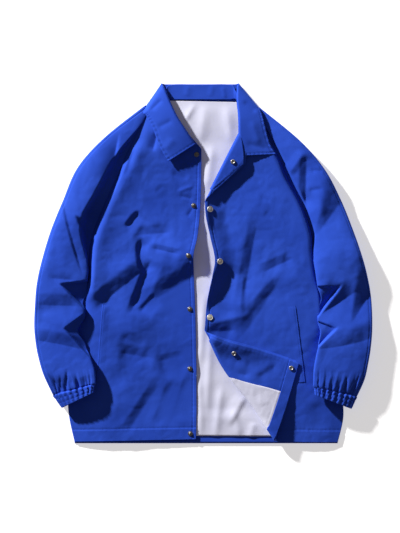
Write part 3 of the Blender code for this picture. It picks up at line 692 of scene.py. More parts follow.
# Sleeves. Each row is a section from the neck to the cuff.
# Columns: raglan or underarm seam x, y, z, overarm seam x, y, z, rise of the upper half, where its crest lies
# (below 1 is nearer the body), height of the lower half beside the body, and the share across at which that
# half has come down to the floor
rightSleeve = {
    "rows": [
        (-118, 313, 8.0, -121, 331, 7.5, 1, 0.8, 5.0, 0.75),
        (-152, 246, 7.0, -206, 263, 11, 12, 0.75, 1.5, 0.75),
        (-181, 179, 6.0, -262, 200, 13, 20, 0.75, 1, 0.75),
        (-209, 118, 5.5, -293, 130, 13, 23, 0.8, 1, 0.75),
        (-232, 57, 5.5, -318, 68, 13, 23, 0.85, 1, 0.75),
        (-240, 8, 7.0, -336, 8, 13, 21, 0.9, 3, 0.75),
        (-246, -43, 12, -347, -43, 13, 19, 0.95, 7, 0.75),
        (-250, -90, 13, -351, -90, 13, 18, 1, 8, 0.75),
        (-251, -132, 14, -352.3, -132, 13, 18, 1, 8, 0.75),
        (-250, -169, 12, -349, -169, 13, 19, 1, 8, 0.75),
        (-238, -200, 13.5, -342, -203, 13, 18.5, 1, 10, 0.75),
        (-230, -225, 17, -332, -235, 13, 16, 1, 13, 0.75),
        (-228, -253, 22, -313, -276, 13, 11, 1, 16, 1.0),
    ],
    "mouth": (-230, -270, 24, -295, -302, 14, 9, 1, 15, 1.0),
    # dents of the inner outline: y, half length and depth
    "dents": [(-82, 18, 6.0), (-140, 31, 15.0)],
    # the low strip beside the raglan seam: its width at each y, and the share of it that is flat
    "valley": {
        "y": (-12, 10, 35, 70, 105, 140, 213, 240, 275, 295),
        "width": (1, 6, 16, 31, 38, 32, 27, 18, 6, 1), "floor": 0.5,
    },
    # tip, end of the upper edge, end of the lower edge, depth
    "pockets": [(-268, 100, -238, 84, -240, 50, 9.0), (-299, -43, -240, -37, -248, -95, 20.0),
                (-291, -136, -246, -104, -235, -198, 14.0)],
    "creases": [
        (-298, 156, -248, -32, 4, 30, 4.5, -3.0, 0),
        (-327, -30, -262, -36, 0, 8, 10, -2.2, 1.3),
        (-362, -86, -246, -90, 0, 28, 70, -5.0, 0),
        (-356, -98, -290, -92, 0, 12, 20, -1.8, 1.6),
        (-376, -156, -196, -196, -4, 28, 70, -6.2, 0),
        (-300, 60, -312, 0, 0, 12, 12, -1.2, 1.9),
        (-318, 40, -330, -20, 0, 9, 9, 1.0, 1.8),
    ],
    "fans": [
        (-174, 282, -193, 182, 0, 7, 17, -7.0, 1.5),
        (-330, -224, -298, -262, 0, 6, 6, -3.6, 1.3),
        (-284, -214, -286, -266, 0, 5, 5, -4.0, 1.3),
        (-268, -226, -258, -262, 0, 4, 4, -4.5, 1.3),
        (-300, -228, -296, -270, 0, 4, 4, -3.0, 1.4),
        (-246, -222, -240, -260, 0, 3, 4, -3.8, 1.3),
        (-312, -240, -304, -274, 0, 3, 4, -3.2, 1.3),
    ],
    "front": {"cut": (0.17, 0.66), "area": 0.066}, "back": {"cut": (0.16, 0.65), "area": 0.062},
    "band": {"cut": (0.26, 0.03), "area": 0.0070},
}
leftSleeve = {
    "rows": [
        (113, 309, 8.0, 118, 326, 7.5, 1, 0.9, 5.0, 0.75),
        (154, 229, 7.0, 201, 257, 11, 9, 1.1, 1.5, 0.75),
        (176, 178, 6.0, 252, 198, 13, 13, 1.2, 1, 0.75),
        (205, 122, 5.5, 287, 133, 13, 15.5, 1.2, 1, 0.75),
        (226, 63, 5.5, 313, 68, 13, 18, 1.2, 1, 0.75),
        (230, 20, 7.5, 330, 18, 13, 22, 1.2, 3, 0.75),
        (238, -24, 13, 341, -22, 13, 19, 1.1, 8, 0.75),
        (243, -60, 14, 349, -62, 13, 18, 1, 8, 0.75),
        (242, -100, 15, 352, -100, 13, 18, 1, 8, 0.75),
        (243, -140, 17, 352, -142, 13, 18, 1, 10, 0.75),
        (244, -171, 19, 349, -178, 13, 18, 1, 12, 0.75),
        (239, -195, 20, 344, -208, 13, 17, 1, 13, 0.75),
        (234, -225, 22, 336, -243, 13, 15, 1, 15, 0.75),
        (233, -258, 23, 320, -279, 13, 11, 1, 17, 1.0),
    ],
    "mouth": (234, -275, 24, 309, -304, 14, 9, 1, 15, 1.0),
    "dents": [(-75, 28, 7.0), (-144, 26, 5.0)],
    "valley": {
        "y": (8, 36, 62, 110, 180, 240, 285, 300), "width": (1, 4, 9, 11, 12, 10, 6, 1), "floor": 0.6,
    },
    "pockets": [(285, -48, 244, -48, 240, -108, 10.0), (277, -135, 242, -122, 246, -168, 7.0)],
    "creases": [
        (214, 237, 177, 183, 0, 12, 20, 2.6, 0),
        (216, 230, 213, 100, 0, 34, 17, -6.0, 0),
        (210, 158, 231, 48, 0, 30, 14, -4.5, 0),
        (223, 194, 251, 194, 0, 4, 8, -1.8, 1.3),
        (220, 152, 251, 157, 0, 4, 8, -1.8, 1.3),
        (330, -51, 210, -130, 0, 80, 36, -12.0, 0),
        (292, -39, 226, -129, 0, 2.2, 30, -9.0, 0),
        (284, -129, 228, -186, 0, 2.2, 21, -5.5, 0),
        (214, -180, 372, -149, 7, 38, 80, -7.0, 0),
        (318, 60, 326, 0, 0, 12, 12, 1.2, 1.9),
    ],
    "fans": [
        (228, 46, 294, 138, 0, 50, 130, -9.0, 0),
        (307, -129, 360, -46, 0, 52, 110, -13.0, 0),
        (300, -226, 295, -274, 0, 4, 4, -5.0, 1.3),
        (328, -224, 310, -276, 0, 4, 4, -5.0, 1.3),
        (284, -248, 277, -276, 0, 3, 3, -3.8, 1.3),
        (268, -240, 265, -272, 0, 3, 3, -3.0, 1.4),
        (318, -240, 304, -276, 0, 3, 3, -3.2, 1.3),
    ],
    "front": {"cut": (0.17, 0.66), "area": 0.066}, "back": {"cut": (0.16, 0.65), "area": 0.062},
    "band": {"cut": (0.28, 0.03), "area": 0.0075},
}
sleeveMake = {
    "front": (84, 300), "back": (32, 150), "upperLip": 12, "lowerLip": 8, "lipGap": 0.1, "layerGap": 0.5,
    "inset": (-0.6, -3.0), "insetFrom": 0.34, "insetOver": 0.16, "noValley": 0.01, "floorFrom": 0.3,
    "upperFullness": (0.85, 0.42), "fullFrom": 0.34, "fullOver": 0.14, "lowerFullness": 0.5,
    "lowerFlat": 1.25, "crumpleSeed": 5.3, "endDip": 1.6, "endShare": 0.018,
    "seamAt": 5.0, "seamGroove": 0.6, "seamWidth": 1.3, "seamEnd": 0.97, "seamFade": 0.05,
}
gatherMake = {
    "count": 7, "depth": 1.1, "share": 0.12, "wander": 0.02, "wanderSize": 12, "wanderSeed": 4.2,
    "fine": 0.45, "fineTimes": 2.2, "fineLag": 1,
}
cuffMake = {
    "grid": (252, 28), "gathers": 21, "wave": 1.6, "uneven": 0.5, "unevenTimes": 3,
    "fine": 0.5, "fineLean": 7, "overlap": 10.0, "tuck": 6.0, "tuckFrom": 0.12, "tuckOver": 0.16,
    "mouthHold": 0.75, "mouthFrom": 0.6,
    "elastic": (0.30, 0.66), "elasticWidth": 0.07, "elasticHold": 0.25, "elasticDent": 0.4,
}


def arch(share, skew, fullness):  # 0 at both edges, 1 at the crest
    return np.maximum(np.sin(np.pi * share ** skew), 0.0) ** fullness


def acrossShare(u, count):  # rounded spacing across a sleeve, with an upright lip at each edge
    step = 1 / count
    return (1 - np.cos(np.pi * np.clip((u - step) / (1 - 2 * step), 0.0, 1.0))) / 2


def upperHeight(row, share, u, v=1.0):  # the upper arm slopes like a roof, and the forearm is round
    fullness = mix(*sleeveMake["upperFullness"], soft((v - sleeveMake["fullFrom"]) / sleeveMake["fullOver"]))
    return mix(row[2], row[5], share) + row[6] * arch(u, row[7], fullness)


def edgeFade(u):  # 0 at both edges of a sleeve
    return arch(u, 1.0, sleeveMake["lowerFullness"])


def lowerHeight(row, share, u):
    chord = mix(row[2], row[5], share)
    rest = mix(np.maximum(row[8], wall["floorRest"]), wall["floorRest"], soft(share / row[9]))
    return chord - (chord - rest) * np.minimum(1.0, sleeveMake["lowerFlat"] * edgeFade(u))


class SleeveCloth:
    def __init__(self, cut):
        self.cut = cut

    def section(self, v, share):  # a section's row, its seam drawn in from the body, and a point of its plan
        make, row = sleeveMake, rowAt(self.cut["rows"], v)
        runX, runY = row[3] - row[0], row[4] - row[1]
        length = np.hypot(runX, runY)
        inset = mix(*make["inset"], soft((v - make["insetFrom"]) / make["insetOver"])) / length
        x, y = mix(row[0] + runX * inset, row[3], share), mix(row[1] + runY * inset, row[4], share)
        for middle, half, depth in self.cut["dents"]:
            x += runX / length * depth * soft(1 - np.abs(y - middle) / half) * (1 - share) ** 2
        return row, x, y, length

    def gather(self, share, v, x, y):  # the folds that the cuff draws in
        make = gatherMake
        nearCuff = soft((v - 1 + make["share"]) / make["share"])
        wander = make["wander"] * rumple(x, y, make["wanderSize"], make["wanderSeed"])
        turns = 2 * np.pi * make["count"] * (share + wander)
        fine = make["fine"] * np.sin(make["fineTimes"] * turns + make["fineLag"])
        return make["depth"] * nearCuff * (np.sin(turns) + fine)

    def upper(self, u, v):
        make, cut = sleeveMake, self.cut
        share = acrossShare(u, make["upperLip"])
        row, x, y, length = self.section(v, share)
        folds = creaseHeight(cut["creases"], x, y) + creaseHeight(cut["fans"], x, y, fan=True)
        folds += sunk(cut["pockets"], x, y) + self.gather(share, v, x, y) + crumple(x, y, make["crumpleSeed"])
        full = upperHeight(row, share, u, v) + folds * edgeFade(u)
        seam = make["seamGroove"] * bell((1 - share) * length - make["seamAt"], make["seamWidth"])
        full -= seam * soft((make["seamEnd"] - v) / make["seamFade"])
        full -= make["endDip"] * soft((v - 1 + make["endShare"]) / make["endShare"]) * edgeFade(u)
        valley = cut["valley"]  # a low floor beside the raglan seam, then a steep side
        width = np.interp(y, valley["y"], valley["width"], left=make["noValley"], right=make["noValley"])
        beside = 1 - soft((share * length / width - valley["floor"]) / (1 - valley["floor"]))
        z = mix(full, mix(row[2], row[5], share), beside) + make["lipGap"] / 2
        lowest = lowerHeight(row, share, u) + wall["shell"] + make["layerGap"]
        return x, y, np.where(arch(u, 1, 1) > make["floorFrom"], softFloor(z, lowest), z)

    def lower(self, u, v):
        share = acrossShare(u, sleeveMake["lowerLip"])
        row, x, y, _ = self.section(v, share)
        return x, y, lowerHeight(row, share, u) - sleeveMake["lipGap"] / 2

    def band(self, u, v):  # the elastic cuff, drawn into waves, from inside the sleeve's end to the mouth
        last, mouth = self.cut["rows"][-1], self.cut["mouth"]
        start = -cuffMake["overlap"] / math.hypot(mouth[0] - last[0], mouth[1] - last[1])
        return self.ring(u, mix(start, 1.0, v))

    def ring(self, u, v):
        make = cuffMake
        row = [mix(a, b, v) for a, b in zip(self.cut["rows"][-1], self.cut["mouth"])]
        turn = 2 * np.pi * u
        share = (1 - np.cos(turn)) / 2
        half = np.where(u <= 0.5, 2 * u, 2 - 2 * u)
        z = np.where(u <= 0.5, upperHeight(row, share, half), lowerHeight(row, share, half))
        x, y = mix(row[0], row[3], share), mix(row[1], row[4], share)
        drawn = sum(bell(v - at, make["elasticWidth"]) for at in make["elastic"])
        uneven = make["uneven"] * np.sin(make["unevenTimes"] * turn)
        wave = make["wave"] * np.cos(make["gathers"] * turn + uneven)
        wave += make["fine"] * np.cos(2 * make["gathers"] * turn + make["fineLean"] * v)
        wave *= 1 - make["elasticHold"] * drawn
        wave *= 1 - make["mouthHold"] * soft((v - make["mouthFrom"]) / (1 - make["mouthFrom"]))
        wave -= make["elasticDent"] * drawn
        wave = mix(-make["tuck"], wave, soft((v + make["tuckFrom"]) / make["tuckOver"]))
        runX, runY = row[3] - row[0], row[4] - row[1]
        length = np.hypot(runX, runY)
        x = x - runX / length * wave * np.cos(turn)
        y = y - runY / length * wave * np.cos(turn)
        return x, y, np.maximum(z + wave * np.sin(turn), wall["floorRest"])


sleeves = {"right": SleeveCloth(rightSleeve), "left": SleeveCloth(leftSleeve)}
sleeveCloth = {}
for side, sleeve in sleeves.items():
    for half, surface in (("front", sleeve.upper), ("back", sleeve.lower)):
        node = f"sleeve_{side}_{half}"
        sleeveCloth[node] = layCloth(node, surface, *sleeveMake[half], wall["shell"], shellBlue)
    node = f"cuff_{side}"
    sleeveCloth[node] = layCloth(node, sleeve.band, *cuffMake["grid"], wall["shell"], shellBlue, ring=True)
print("sleeves and cuffs ready")

# Collar. Columns: roll edge x, y, z, outer edge x, y, z, from the right point round the back to the left
rest = wall["floorRest"]
collarFall = {
    "rows": [
        (-16, 249, 20, -73, 213, 18),
        (-35, 277, 24, -91, 244, 19),
        (-55, 308, 25, -106, 284, 18),
        (-71, 342, 22, -119, 308, 15),
        (-82, 369, 16, -124, 313, 13),
        (-87, 377, 7.5, -128, 317, 6),
        (-79, 376, 1.2, -120, 320, rest),
        (-45, 376, rest, -60, 317, rest),
        (-8, 376, rest, -8, 316, rest),
        (30, 376, rest, 45, 317, rest),
        (65, 376, 1.2, 108, 319, rest),
        (74, 377, 5.5, 122, 319, 6),
        (71, 370, 11, 119, 320, 14),
        (70, 342, 20, 124, 306, 18),
        (73, 308, 27, 129, 286, 20.5),
        (74, 270, 27, 139, 250, 20.5),
        (76, 224, 25, 152, 228, 20),
    ],
    "creases": [
        (100, 300, 118, 246, 0, 8, 8, 1.2, 1.8),
        (86, 250, 140, 238, 0, 7, 6, -1.2, 1.7),
        (-60, 262, -82, 236, 0, 8, 8, 1.0, 1.8),
        (-62, 300, -98, 282, 0, 6, 6, -1.2, 1.7),
        (-84, 344, -112, 318, 0, 5, 6, -1.4, 1.6),
        (82, 340, 112, 314, 0, 6, 5, -1.4, 1.6),
    ],
    "round": 4.5, "bulge": 1.5, "raisedFrom": 6.0, "raisedOver": 10.0, "stitchAt": 6.0, "groove": 0.6,
    "grooveWidth": 1.4, "pucker": 0.35, "puckerRun": 9.0, "puckerAt": 3.0, "puckerWidth": 4.0,
    # the collar's length, as the shares run at the right point, and at the left one's roll and outer edge
    "endRun": (560.0, 736.0, 400.0), "grid": (34, 240), "cut": (0.08, 0.62), "area": 0.040,
}
collarStand = {
    "rows": [
        (-20, 246, 17.5, -26, 241, 14.5),
        (-38, 273, 21.5, -46, 267, 17.5),
        (-58, 304, 22.5, -68, 297, 18.5),
        (-74, 338, 16, -83, 328, 13),
        (-78, 363, 9.0, -76, 344, 7.5),
        (-66, 375, 5.0, -62, 343, 6.0),
        (-8, 375, 5.0, -8, 343, 6.0),
        (54, 375, 5.0, 52, 343, 6.0),
        (67, 363, 9.0, 68, 344, 7.5),
        (73, 338, 17.5, 82, 328, 14),
        (77, 304, 24.5, 87, 299, 20.5),
    ],
    "creases": [
        (40, 372, 46, 344, 0, 4, 4, 1.0, 1.6),
        (20, 374, 14, 348, 0, 5, 5, 0.8, 1.7),
        (-30, 374, -36, 348, 0, 6, 6, 0.8, 1.8),
    ],
    "grid": (18, 180), "cut": (0.035, 0.42), "area": 0.0075,
}


def fallSurface(u, v):
    cut = collarFall
    rollX, rollY, rollZ, outerX, outerY, outerZ = rowAt(cut["rows"], v)
    x, y = mix(rollX, outerX, u), mix(rollY, outerY, u)
    width = np.hypot(outerX - rollX, outerY - rollY)
    fromRoll, fromOuter = u * width, (1 - u) * width
    form = cut["bulge"] * np.sin(np.pi * u) + creaseHeight(cut["creases"], x, y)
    form -= cut["round"] * (1 - np.sqrt(1 - np.clip(1 - fromRoll / cut["round"], 0.0, 1.0) ** 2))
    rightRun, leftRoll, leftOuter = cut["endRun"]
    fromEnd = np.minimum(v * rightRun, (1 - v) * mix(leftRoll, leftOuter, u))
    for away, along in ((fromOuter, fromEnd), (fromEnd, fromOuter)):
        form -= cut["groove"] * bell(away - cut["stitchAt"], cut["grooveWidth"])
        waves = np.sin(2 * np.pi * along / cut["puckerRun"])
        form += cut["pucker"] * waves * bell(away - cut["puckerAt"], cut["puckerWidth"])
    raised = soft((rollZ - cut["raisedFrom"]) / cut["raisedOver"])  # 0 for the part folded under the neck
    return x, y, np.maximum(mix(rollZ, outerZ, u) + raised * form, wall["floorRest"])


def standSurface(u, v):
    rollX, rollY, rollZ, outerX, outerY, outerZ = rowAt(collarStand["rows"], v)
    x, y = mix(rollX, outerX, u), mix(rollY, outerY, u)
    return x, y, mix(rollZ, outerZ, u) + creaseHeight(collarStand["creases"], x, y)


fallCloth = layCloth("collar_fall", fallSurface, *collarFall["grid"], wall["shell"], shellBlue)
standCloth = layCloth("collar_stand", standSurface, *collarStand["grid"], wall["shell"], shellBlue)
print("collar ready")

# Back, its turned-up hem and the lining
backCut = {
    "hemY": -377.6, "hemInset": 1.0, "neckRise": 29.0, "neckSpan": 0.62, "neckFade": 8,
    "lift": 2.4, "liftFrom": 250.0, "liftTo": 305.0, "inset": 20.0, "seamGap": 0.3,
    "hemHeight": 26.0, "hemSlope": 25.0, "turnUp": 1.2,
    "liningFrom": 0.0275, "liningSpan": 0.86, "liningGap": 0.6, "topRows": (0.99, 0.9985),
    "loose": 0.5, "looseSize": 30, "looseSeed": 2.4, "sideFade": 12, "topFade": 30,
    "grid": (100, 140), "hemGrid": (120, 8), "liningGrid": (130, 190),
    "cut": (0.60, 0.76), "area": 0.345, "hemCut": (0.52, 0.027),
    "liningCut": (0.55, 0.75), "liningArea": 0.310,
    "creases": [
        (-40, 298, -13, 340, 0, 9, 6, 2.4, 1.4),
        (6, 346, -6, 248, 0, 14, 12, 1.8, 1.8),
        (47, 342, 60, 248, 0, 12, 12, 2.0, 1.8),
        (20, 252, 6, 148, 0, 10, 10, 1.8, 1.8),
        (2, -56, -6, -224, 0, 9, 9, 2.4, 1.7),
        (16, -128, 6, -334, 0, 9, 9, 2.2, 1.7),
        (-8, -228, -4, -370, 0, 7, 8, 2.0, 1.7),
        (40, -248, 24, -374, 0, 9, 8, 2.2, 1.6),
        (90, -272, 50, -344, 0, 11, 26, 2.6, 0),
        (62, -300, 78, -368, 0, 8, 8, 1.6, 1.7),
        (108, -330, 96, -372, 0, 8, 8, 1.6, 1.7),
    ],
}


# The back lies under both fronts, between their side and raglan seams
def backPlan(u, v, inset=0.0, span=backCut["neckSpan"]):
    right, left = rowAt(rightFront["rows"], v), rowAt(leftFront["rows"], v)
    x = mix(right[0] + inset, left[0] - inset, u)
    middle = 1 - soft((np.abs(u - 0.5) * 2 - span) / (1 - span))
    return x, mix(right[1], left[1], u) + backCut["neckRise"] * middle * v ** backCut["neckFade"]


def backFloor(y):  # flat, but lifted over the folded-under collar
    return backCut["lift"] * soft((y - backCut["liftFrom"]) / (backCut["liftTo"] - backCut["liftFrom"]))


def backSurface(u, v):
    x, y = backPlan(u, v)
    return x, np.where(v > 0, y, backCut["hemY"]), backFloor(y)


def hemSurface(u, v):
    x, _ = backPlan(u, np.zeros_like(u), backCut["inset"])
    y = backCut["hemY"] + backCut["hemInset"] + backCut["hemHeight"] * v
    return x, y, np.full_like(x, wall["shell"] + backCut["seamGap"])


def liningSurface(u, v):
    cut = backCut
    v = bunched(v, cut["topRows"])
    x, y = backPlan(u, mix(cut["liningFrom"], 1.0, v), cut["inset"], cut["liningSpan"])
    overHem = 1 - soft((y - cut["hemY"] - cut["hemHeight"] - cut["hemSlope"]) / cut["hemSlope"])
    lift = wall["shell"] + cut["liningGap"] + cut["turnUp"] * overHem
    loose = cut["loose"] * (1 + rumple(x, y, cut["looseSize"], cut["looseSeed"]))
    loose += np.maximum(creaseHeight(cut["creases"], x, y), 0)
    inside = soft(np.minimum(u, 1 - u) * cut["sideFade"]) * soft((1 - v) * cut["topFade"])
    return x, y - cut["seamGap"], backFloor(y) + lift + loose * inside


backCloth = layCloth("back", backSurface, *backCut["grid"], wall["shell"], shellBlue, side=1.0)
hemCloth = layCloth("back_hem", hemSurface, *backCut["hemGrid"], wall["facing"], shellBlue, side=1.0)
liningCloth = layCloth("back_lining", liningSurface, *backCut["liningGrid"], wall["lining"], liningWhite,
                       side=1.0)
print("back and lining ready")


# How far above or below the cloth a search starts, and the least that a normal is taken to point up
probe = {"from": 1000.0, "leastUp": 0.5}


def dropOn(*cloth):  # finds the highest point of some pieces over a place, and its normal
    bpy.context.view_layer.update()
    graph = bpy.context.evaluated_depsgraph_get()
    trees = [BVHTree.FromObject(piece, graph) for piece in cloth]

    def find(x, y):
        start = Vector((x * mm, y * mm, probe["from"] * mm))
        hits = [tree.ray_cast(start, Vector((0, 0, -1))) for tree in trees]
        found = [(hit[0] / mm, hit[1]) for hit in hits if hit[0] is not None]
        return max(found, key=lambda hit: hit[0].z) if found else None

    return find


def riseUnder(piece):  # finds the outer height of the lowest layer of a piece over a place
    bpy.context.view_layer.update()
    tree = BVHTree.FromObject(piece, bpy.context.evaluated_depsgraph_get())

    def find(x, y):
        start = Vector((x * mm, y * mm, -probe["from"] * mm))
        place, normal, _, _ = tree.ray_cast(start, Vector((0, 0, 1)))
        return place.z / mm + wall["shell"] / max(abs(normal.z), probe["leastUp"])

    return find


# Pocket welts, from the open edge towards the middle front. Their edge is lifted a little off the cloth.
weltCut = {
    "right": ((-211, -84), (-224, -247)), "left": ((193, -87), (214, -249)), "width": 20.0, "lift": 0.15,
    "open": 0.35, "openTo": 0.45, "openPower": 0.5, "sewnFrom": 0.2, "topSewn": 0.06, "sink": 0.1,
    "grid": (16, 90), "thickness": 0.5, "cut": (0.02, 0.166),
    "stitchAt": 3.0, "groove": 0.35, "grooveWidth": 1.1, "footAt": 0.98, "footPoints": 8,
}


def weltPlace(side, u, v):
    top, bottom = (np.array(end, float) for end in weltCut[side])
    down = (bottom - top) / np.linalg.norm(bottom - top)
    inward = np.array((-down[1], down[0])) * weltCut["width"] * (1 if side == "right" else -1)
    return tuple(mix(top[i], bottom[i], v) + inward[i] * u for i in (0, 1))


def weltSurface(side, find):
    cut = weltCut

    def surface(u, v):
        x, y = weltPlace(side, u, v)
        z = np.array([find(a, b) for a, b in zip(x, y)]) + cut["lift"]
        gape = np.sin(np.pi * np.clip(v, 0.0, 1.0)) ** cut["openPower"]
        z += cut["open"] * soft(1 - u / cut["openTo"]) * gape
        inner, top = soft((u - cut["sewnFrom"]) / (1 - cut["sewnFrom"])), 1 - soft(v / cut["topSewn"])
        z -= (cut["lift"] + cut["thickness"] + cut["sink"]) * np.maximum(inner, top)  # sewn down flush
        return x, y, z - cut["groove"] * bell(u * cut["width"] - cut["stitchAt"], cut["grooveWidth"])

    return surface


weltCloth = {}
for side, front, up in (("right", frontRight, -1.0), ("left", frontLeft, 1.0)):
    weltCloth[side] = layCloth(f"pocket_welt_{side}", weltSurface(side, riseUnder(front)), *weltCut["grid"],
                               weltCut["thickness"], shellBlue, side=up)
print("pocket welts ready")

# Snaps. Places run from the neck to the hem. Outlines are radius and height above the cloth, rim to middle.
snapCut = {
    "studs": [(-14, 228), (-20, 121), (-31, 16), (-28, -96), (-28, -221), (-27, -357)],
    "snaps": [(62, 212), (14, 113), (35, 4), (14, -113), (64, -188), (184, -219)], "sockets": (1, 5, 6),
    "stud": [(5.2, 0), (5.2, 0.5), (4.9, 0.9), (3.7, 1.0), (3.0, 1.15), (2.5, 1.4), (2.2, 1.8), (2.35, 2.2),
             (2.5, 2.5), (2.2, 2.85), (1.4, 3.05), (0, 3.1)],
    "cap": [(6.4, 0), (6.4, 0.7), (6.15, 1.15), (5.6, 1.35), (5.1, 1.3), (4.5, 0.8), (4.1, 0.75), (3.6, 1.1),
            (3.0, 1.3), (1.5, 1.4), (0, 1.4)],
    "socket": [(5.0, 0), (5.0, 0.9), (4.8, 1.4), (4.3, 1.8), (3.7, 2.0), (3.2, 1.9), (2.8, 1.6), (2.6, 1.1),
               (2.2, 0.9), (0, 0.85)],
    "steps": 40, "seat": 0.25, "probes": 12, "settle": 0.6,
}


def addSnap(node, place, outline, find, material):
    rim, count = outline[0][0], snapCut["probes"]
    angles = [2 * math.pi * i / count for i in range(count)]
    around = [find(place[0] + rim * math.cos(a), place[1] + rim * math.sin(a)) for a in angles]
    found, normal = find(*place)
    normal = sum((hit[1] for hit in around if hit), normal.copy()).normalized()
    lift = max((hit[0] - found).dot(normal) for hit in around if hit)
    seat = found + normal * (max(lift, 0) * snapCut["settle"] + snapCut["seat"])
    turn = normal.to_track_quat("Z", "Y").to_matrix().to_4x4()
    profile = bmesh.new()
    verts = [profile.verts.new((radius * mm, 0, height * mm)) for radius, height in [(0, 0), *outline]]
    edges = [profile.edges.new(pair) for pair in zip(verts, verts[1:])]
    bmesh.ops.spin(profile, geom=verts + edges, cent=(0, 0, 0), axis=(0, 0, 1), angle=2 * math.pi,
                   steps=snapCut["steps"], use_merge=True)
    bmesh.ops.remove_doubles(profile, verts=profile.verts, dist=weldGap * mm)
    bmesh.ops.recalc_face_normals(profile, faces=profile.faces)
    profile.transform(Matrix.Translation(seat * mm) @ turn)
    mesh = bpy.data.meshes.new(node + "_metal")
    profile.to_mesh(mesh)
    profile.free()
    return addPiece(node + "_metal", mesh, material, node)


onRight, onLeft = dropOn(frontRight), dropOn(frontLeft, *turnedCloth.values())
for i, place in enumerate(snapCut["studs"], 1):
    addSnap(f"stud_{i}", place, snapCut["stud"], onRight, studMetal)
for i, place in enumerate(snapCut["snaps"], 1):
    shape, metal = ("socket", socketMetal) if i in snapCut["sockets"] else ("cap", capMetal)
    addSnap(f"snap_{i}", place, snapCut[shape], onLeft, metal)
print("snaps ready")

# Stitching: small drawn-in threads along the seams, one joined piece for each cloth they are sewn through
stitch = {"length": 2.5, "gap": 1.1, "width": 0.42, "height": 0.25, "jump": 5.0}
stitchRuns = {  # shares at which each line starts and stops, and how many points it follows
    "rightEdge": (0.005, 0.985, 160), "rightHem": (0.02, 0.985, 80), "rightSeam": (0.56, 0.985, 100),
    "leftEdge": (0.40, 0.79, 160), "leftHem": (0.02, 0.36, 80), "leftSeam": (0.59, 0.985, 100),
    "cornerEdge": (0.055, 0.33, 160), "lapelEdge": (0.84, 0.98, 160), "overarm": (0.04, 0.94, 140),
    "fall": (0.012, 0.30, 90), "fallEnds": (0.08, 0.92, 40), "welt": (0.01, 0.99, 60),
    "cuff": (0.03, 0.47, 80),
}


def evenPlaces(path):  # where each stitch along a path starts and ends
    path = np.asarray(path, float)
    steps = np.hypot(*np.diff(path, axis=0).T)
    far = np.concatenate(([0.0], np.cumsum(steps)))
    at = np.arange(stitch["gap"], far[-1] - stitch["length"], stitch["length"] + stitch["gap"])
    starts = [np.interp(at, far, path[:, i]) for i in (0, 1)]
    ends = [np.interp(at + stitch["length"], far, path[:, i]) for i in (0, 1)]
    return zip(np.stack(starts, axis=1), np.stack(ends, axis=1))


def sew(name, cloth, paths):
    find = dropOn(cloth)
    ball = bmesh.new()
    bmesh.ops.create_icosphere(ball, subdivisions=1, radius=0.5)
    template = np.array([vert.co for vert in ball.verts])
    faces = np.array([[vert.index for vert in face.verts] for face in ball.faces])
    ball.free()
    points, corners = [], []
    for path in paths:
        for start, end in evenPlaces(path):
            first, second = find(*start), find(*end)
            if not first or not second or abs(first[0].z - second[0].z) > stitch["jump"]:
                continue
            along = second[0] - first[0]
            up = (first[1] + second[1]).normalized()
            across = up.cross(along).normalized()
            turn = np.array([along.normalized(), across, along.normalized().cross(across)]).T
            size = np.array([along.length, stitch["width"], stitch["height"]])
            corners.append(faces + len(points) * len(template))
            points.append((template * size) @ turn.T + np.array((first[0] + second[0]) / 2))
    mesh = bpy.data.meshes.new(name)
    mesh.from_pydata(np.concatenate(points) * mm, [], np.concatenate(corners).tolist())
    return addPiece(name, mesh, threadBlue)


def pathOf(x, y, *heights):
    return np.stack((x, y), axis=1)


def edgeLine(cloth, run):  # a line beside a front's open edge, as it lies
    v = np.linspace(*run)
    return pathOf(*cloth.point(1 - frontSewing["edge"] / cloth.width(v), v))


def seamLine(cloth, run):  # a line beside a front's raglan seam
    v = np.linspace(*run)
    return pathOf(*cloth.plan(frontSewing["seam"] / cloth.width(v), v))


def hemLine(cut, run):
    u = np.linspace(*run)
    side, edge = cut["rows"][0][:2], cut["rows"][0][3:5]
    y = mix(side[1], edge[1], u ** cut["hemBend"]) + frontSewing["hem"]
    return pathOf(mix(side[0], edge[0], u), y)


def overarmLine(sleeve):
    v = np.linspace(*stitchRuns["overarm"])
    row = rowAt(sleeve.cut["rows"], v)
    share = 1 - sleeveMake["seamAt"] / np.hypot(row[3] - row[0], row[4] - row[1])
    _, x, y, _ = sleeve.section(v, share)
    return pathOf(x, y)


def fallLines():
    away = collarFall["stitchAt"]
    v = np.linspace(*stitchRuns["fall"])
    lines = []
    for shares in (v, 1 - v):
        row = rowAt(collarFall["rows"], shares)
        u = 1 - away / np.hypot(row[3] - row[0], row[4] - row[1])
        lines.append(pathOf(*fallSurface(u, shares)))
    u = np.linspace(*stitchRuns["fallEnds"])
    rightRun, leftRoll, leftOuter = collarFall["endRun"]
    for share in (np.full_like(u, away / rightRun), 1 - away / mix(leftRoll, leftOuter, u)):
        lines.append(pathOf(*fallSurface(u, share)))
    return lines


def weltLines(side):
    v = np.linspace(*stitchRuns["welt"])
    inset = weltCut["stitchAt"] / weltCut["width"]
    line = pathOf(*weltPlace(side, np.full_like(v, inset), v))
    u = np.linspace(inset, 1 - inset, weltCut["footPoints"])
    return [line, pathOf(*weltPlace(side, u, np.full_like(u, weltCut["footAt"])))]


def cuffLines(sleeve):
    u = np.linspace(*stitchRuns["cuff"])
    return [pathOf(*sleeve.ring(u, np.full_like(u, at))) for at in cuffMake["elastic"]]


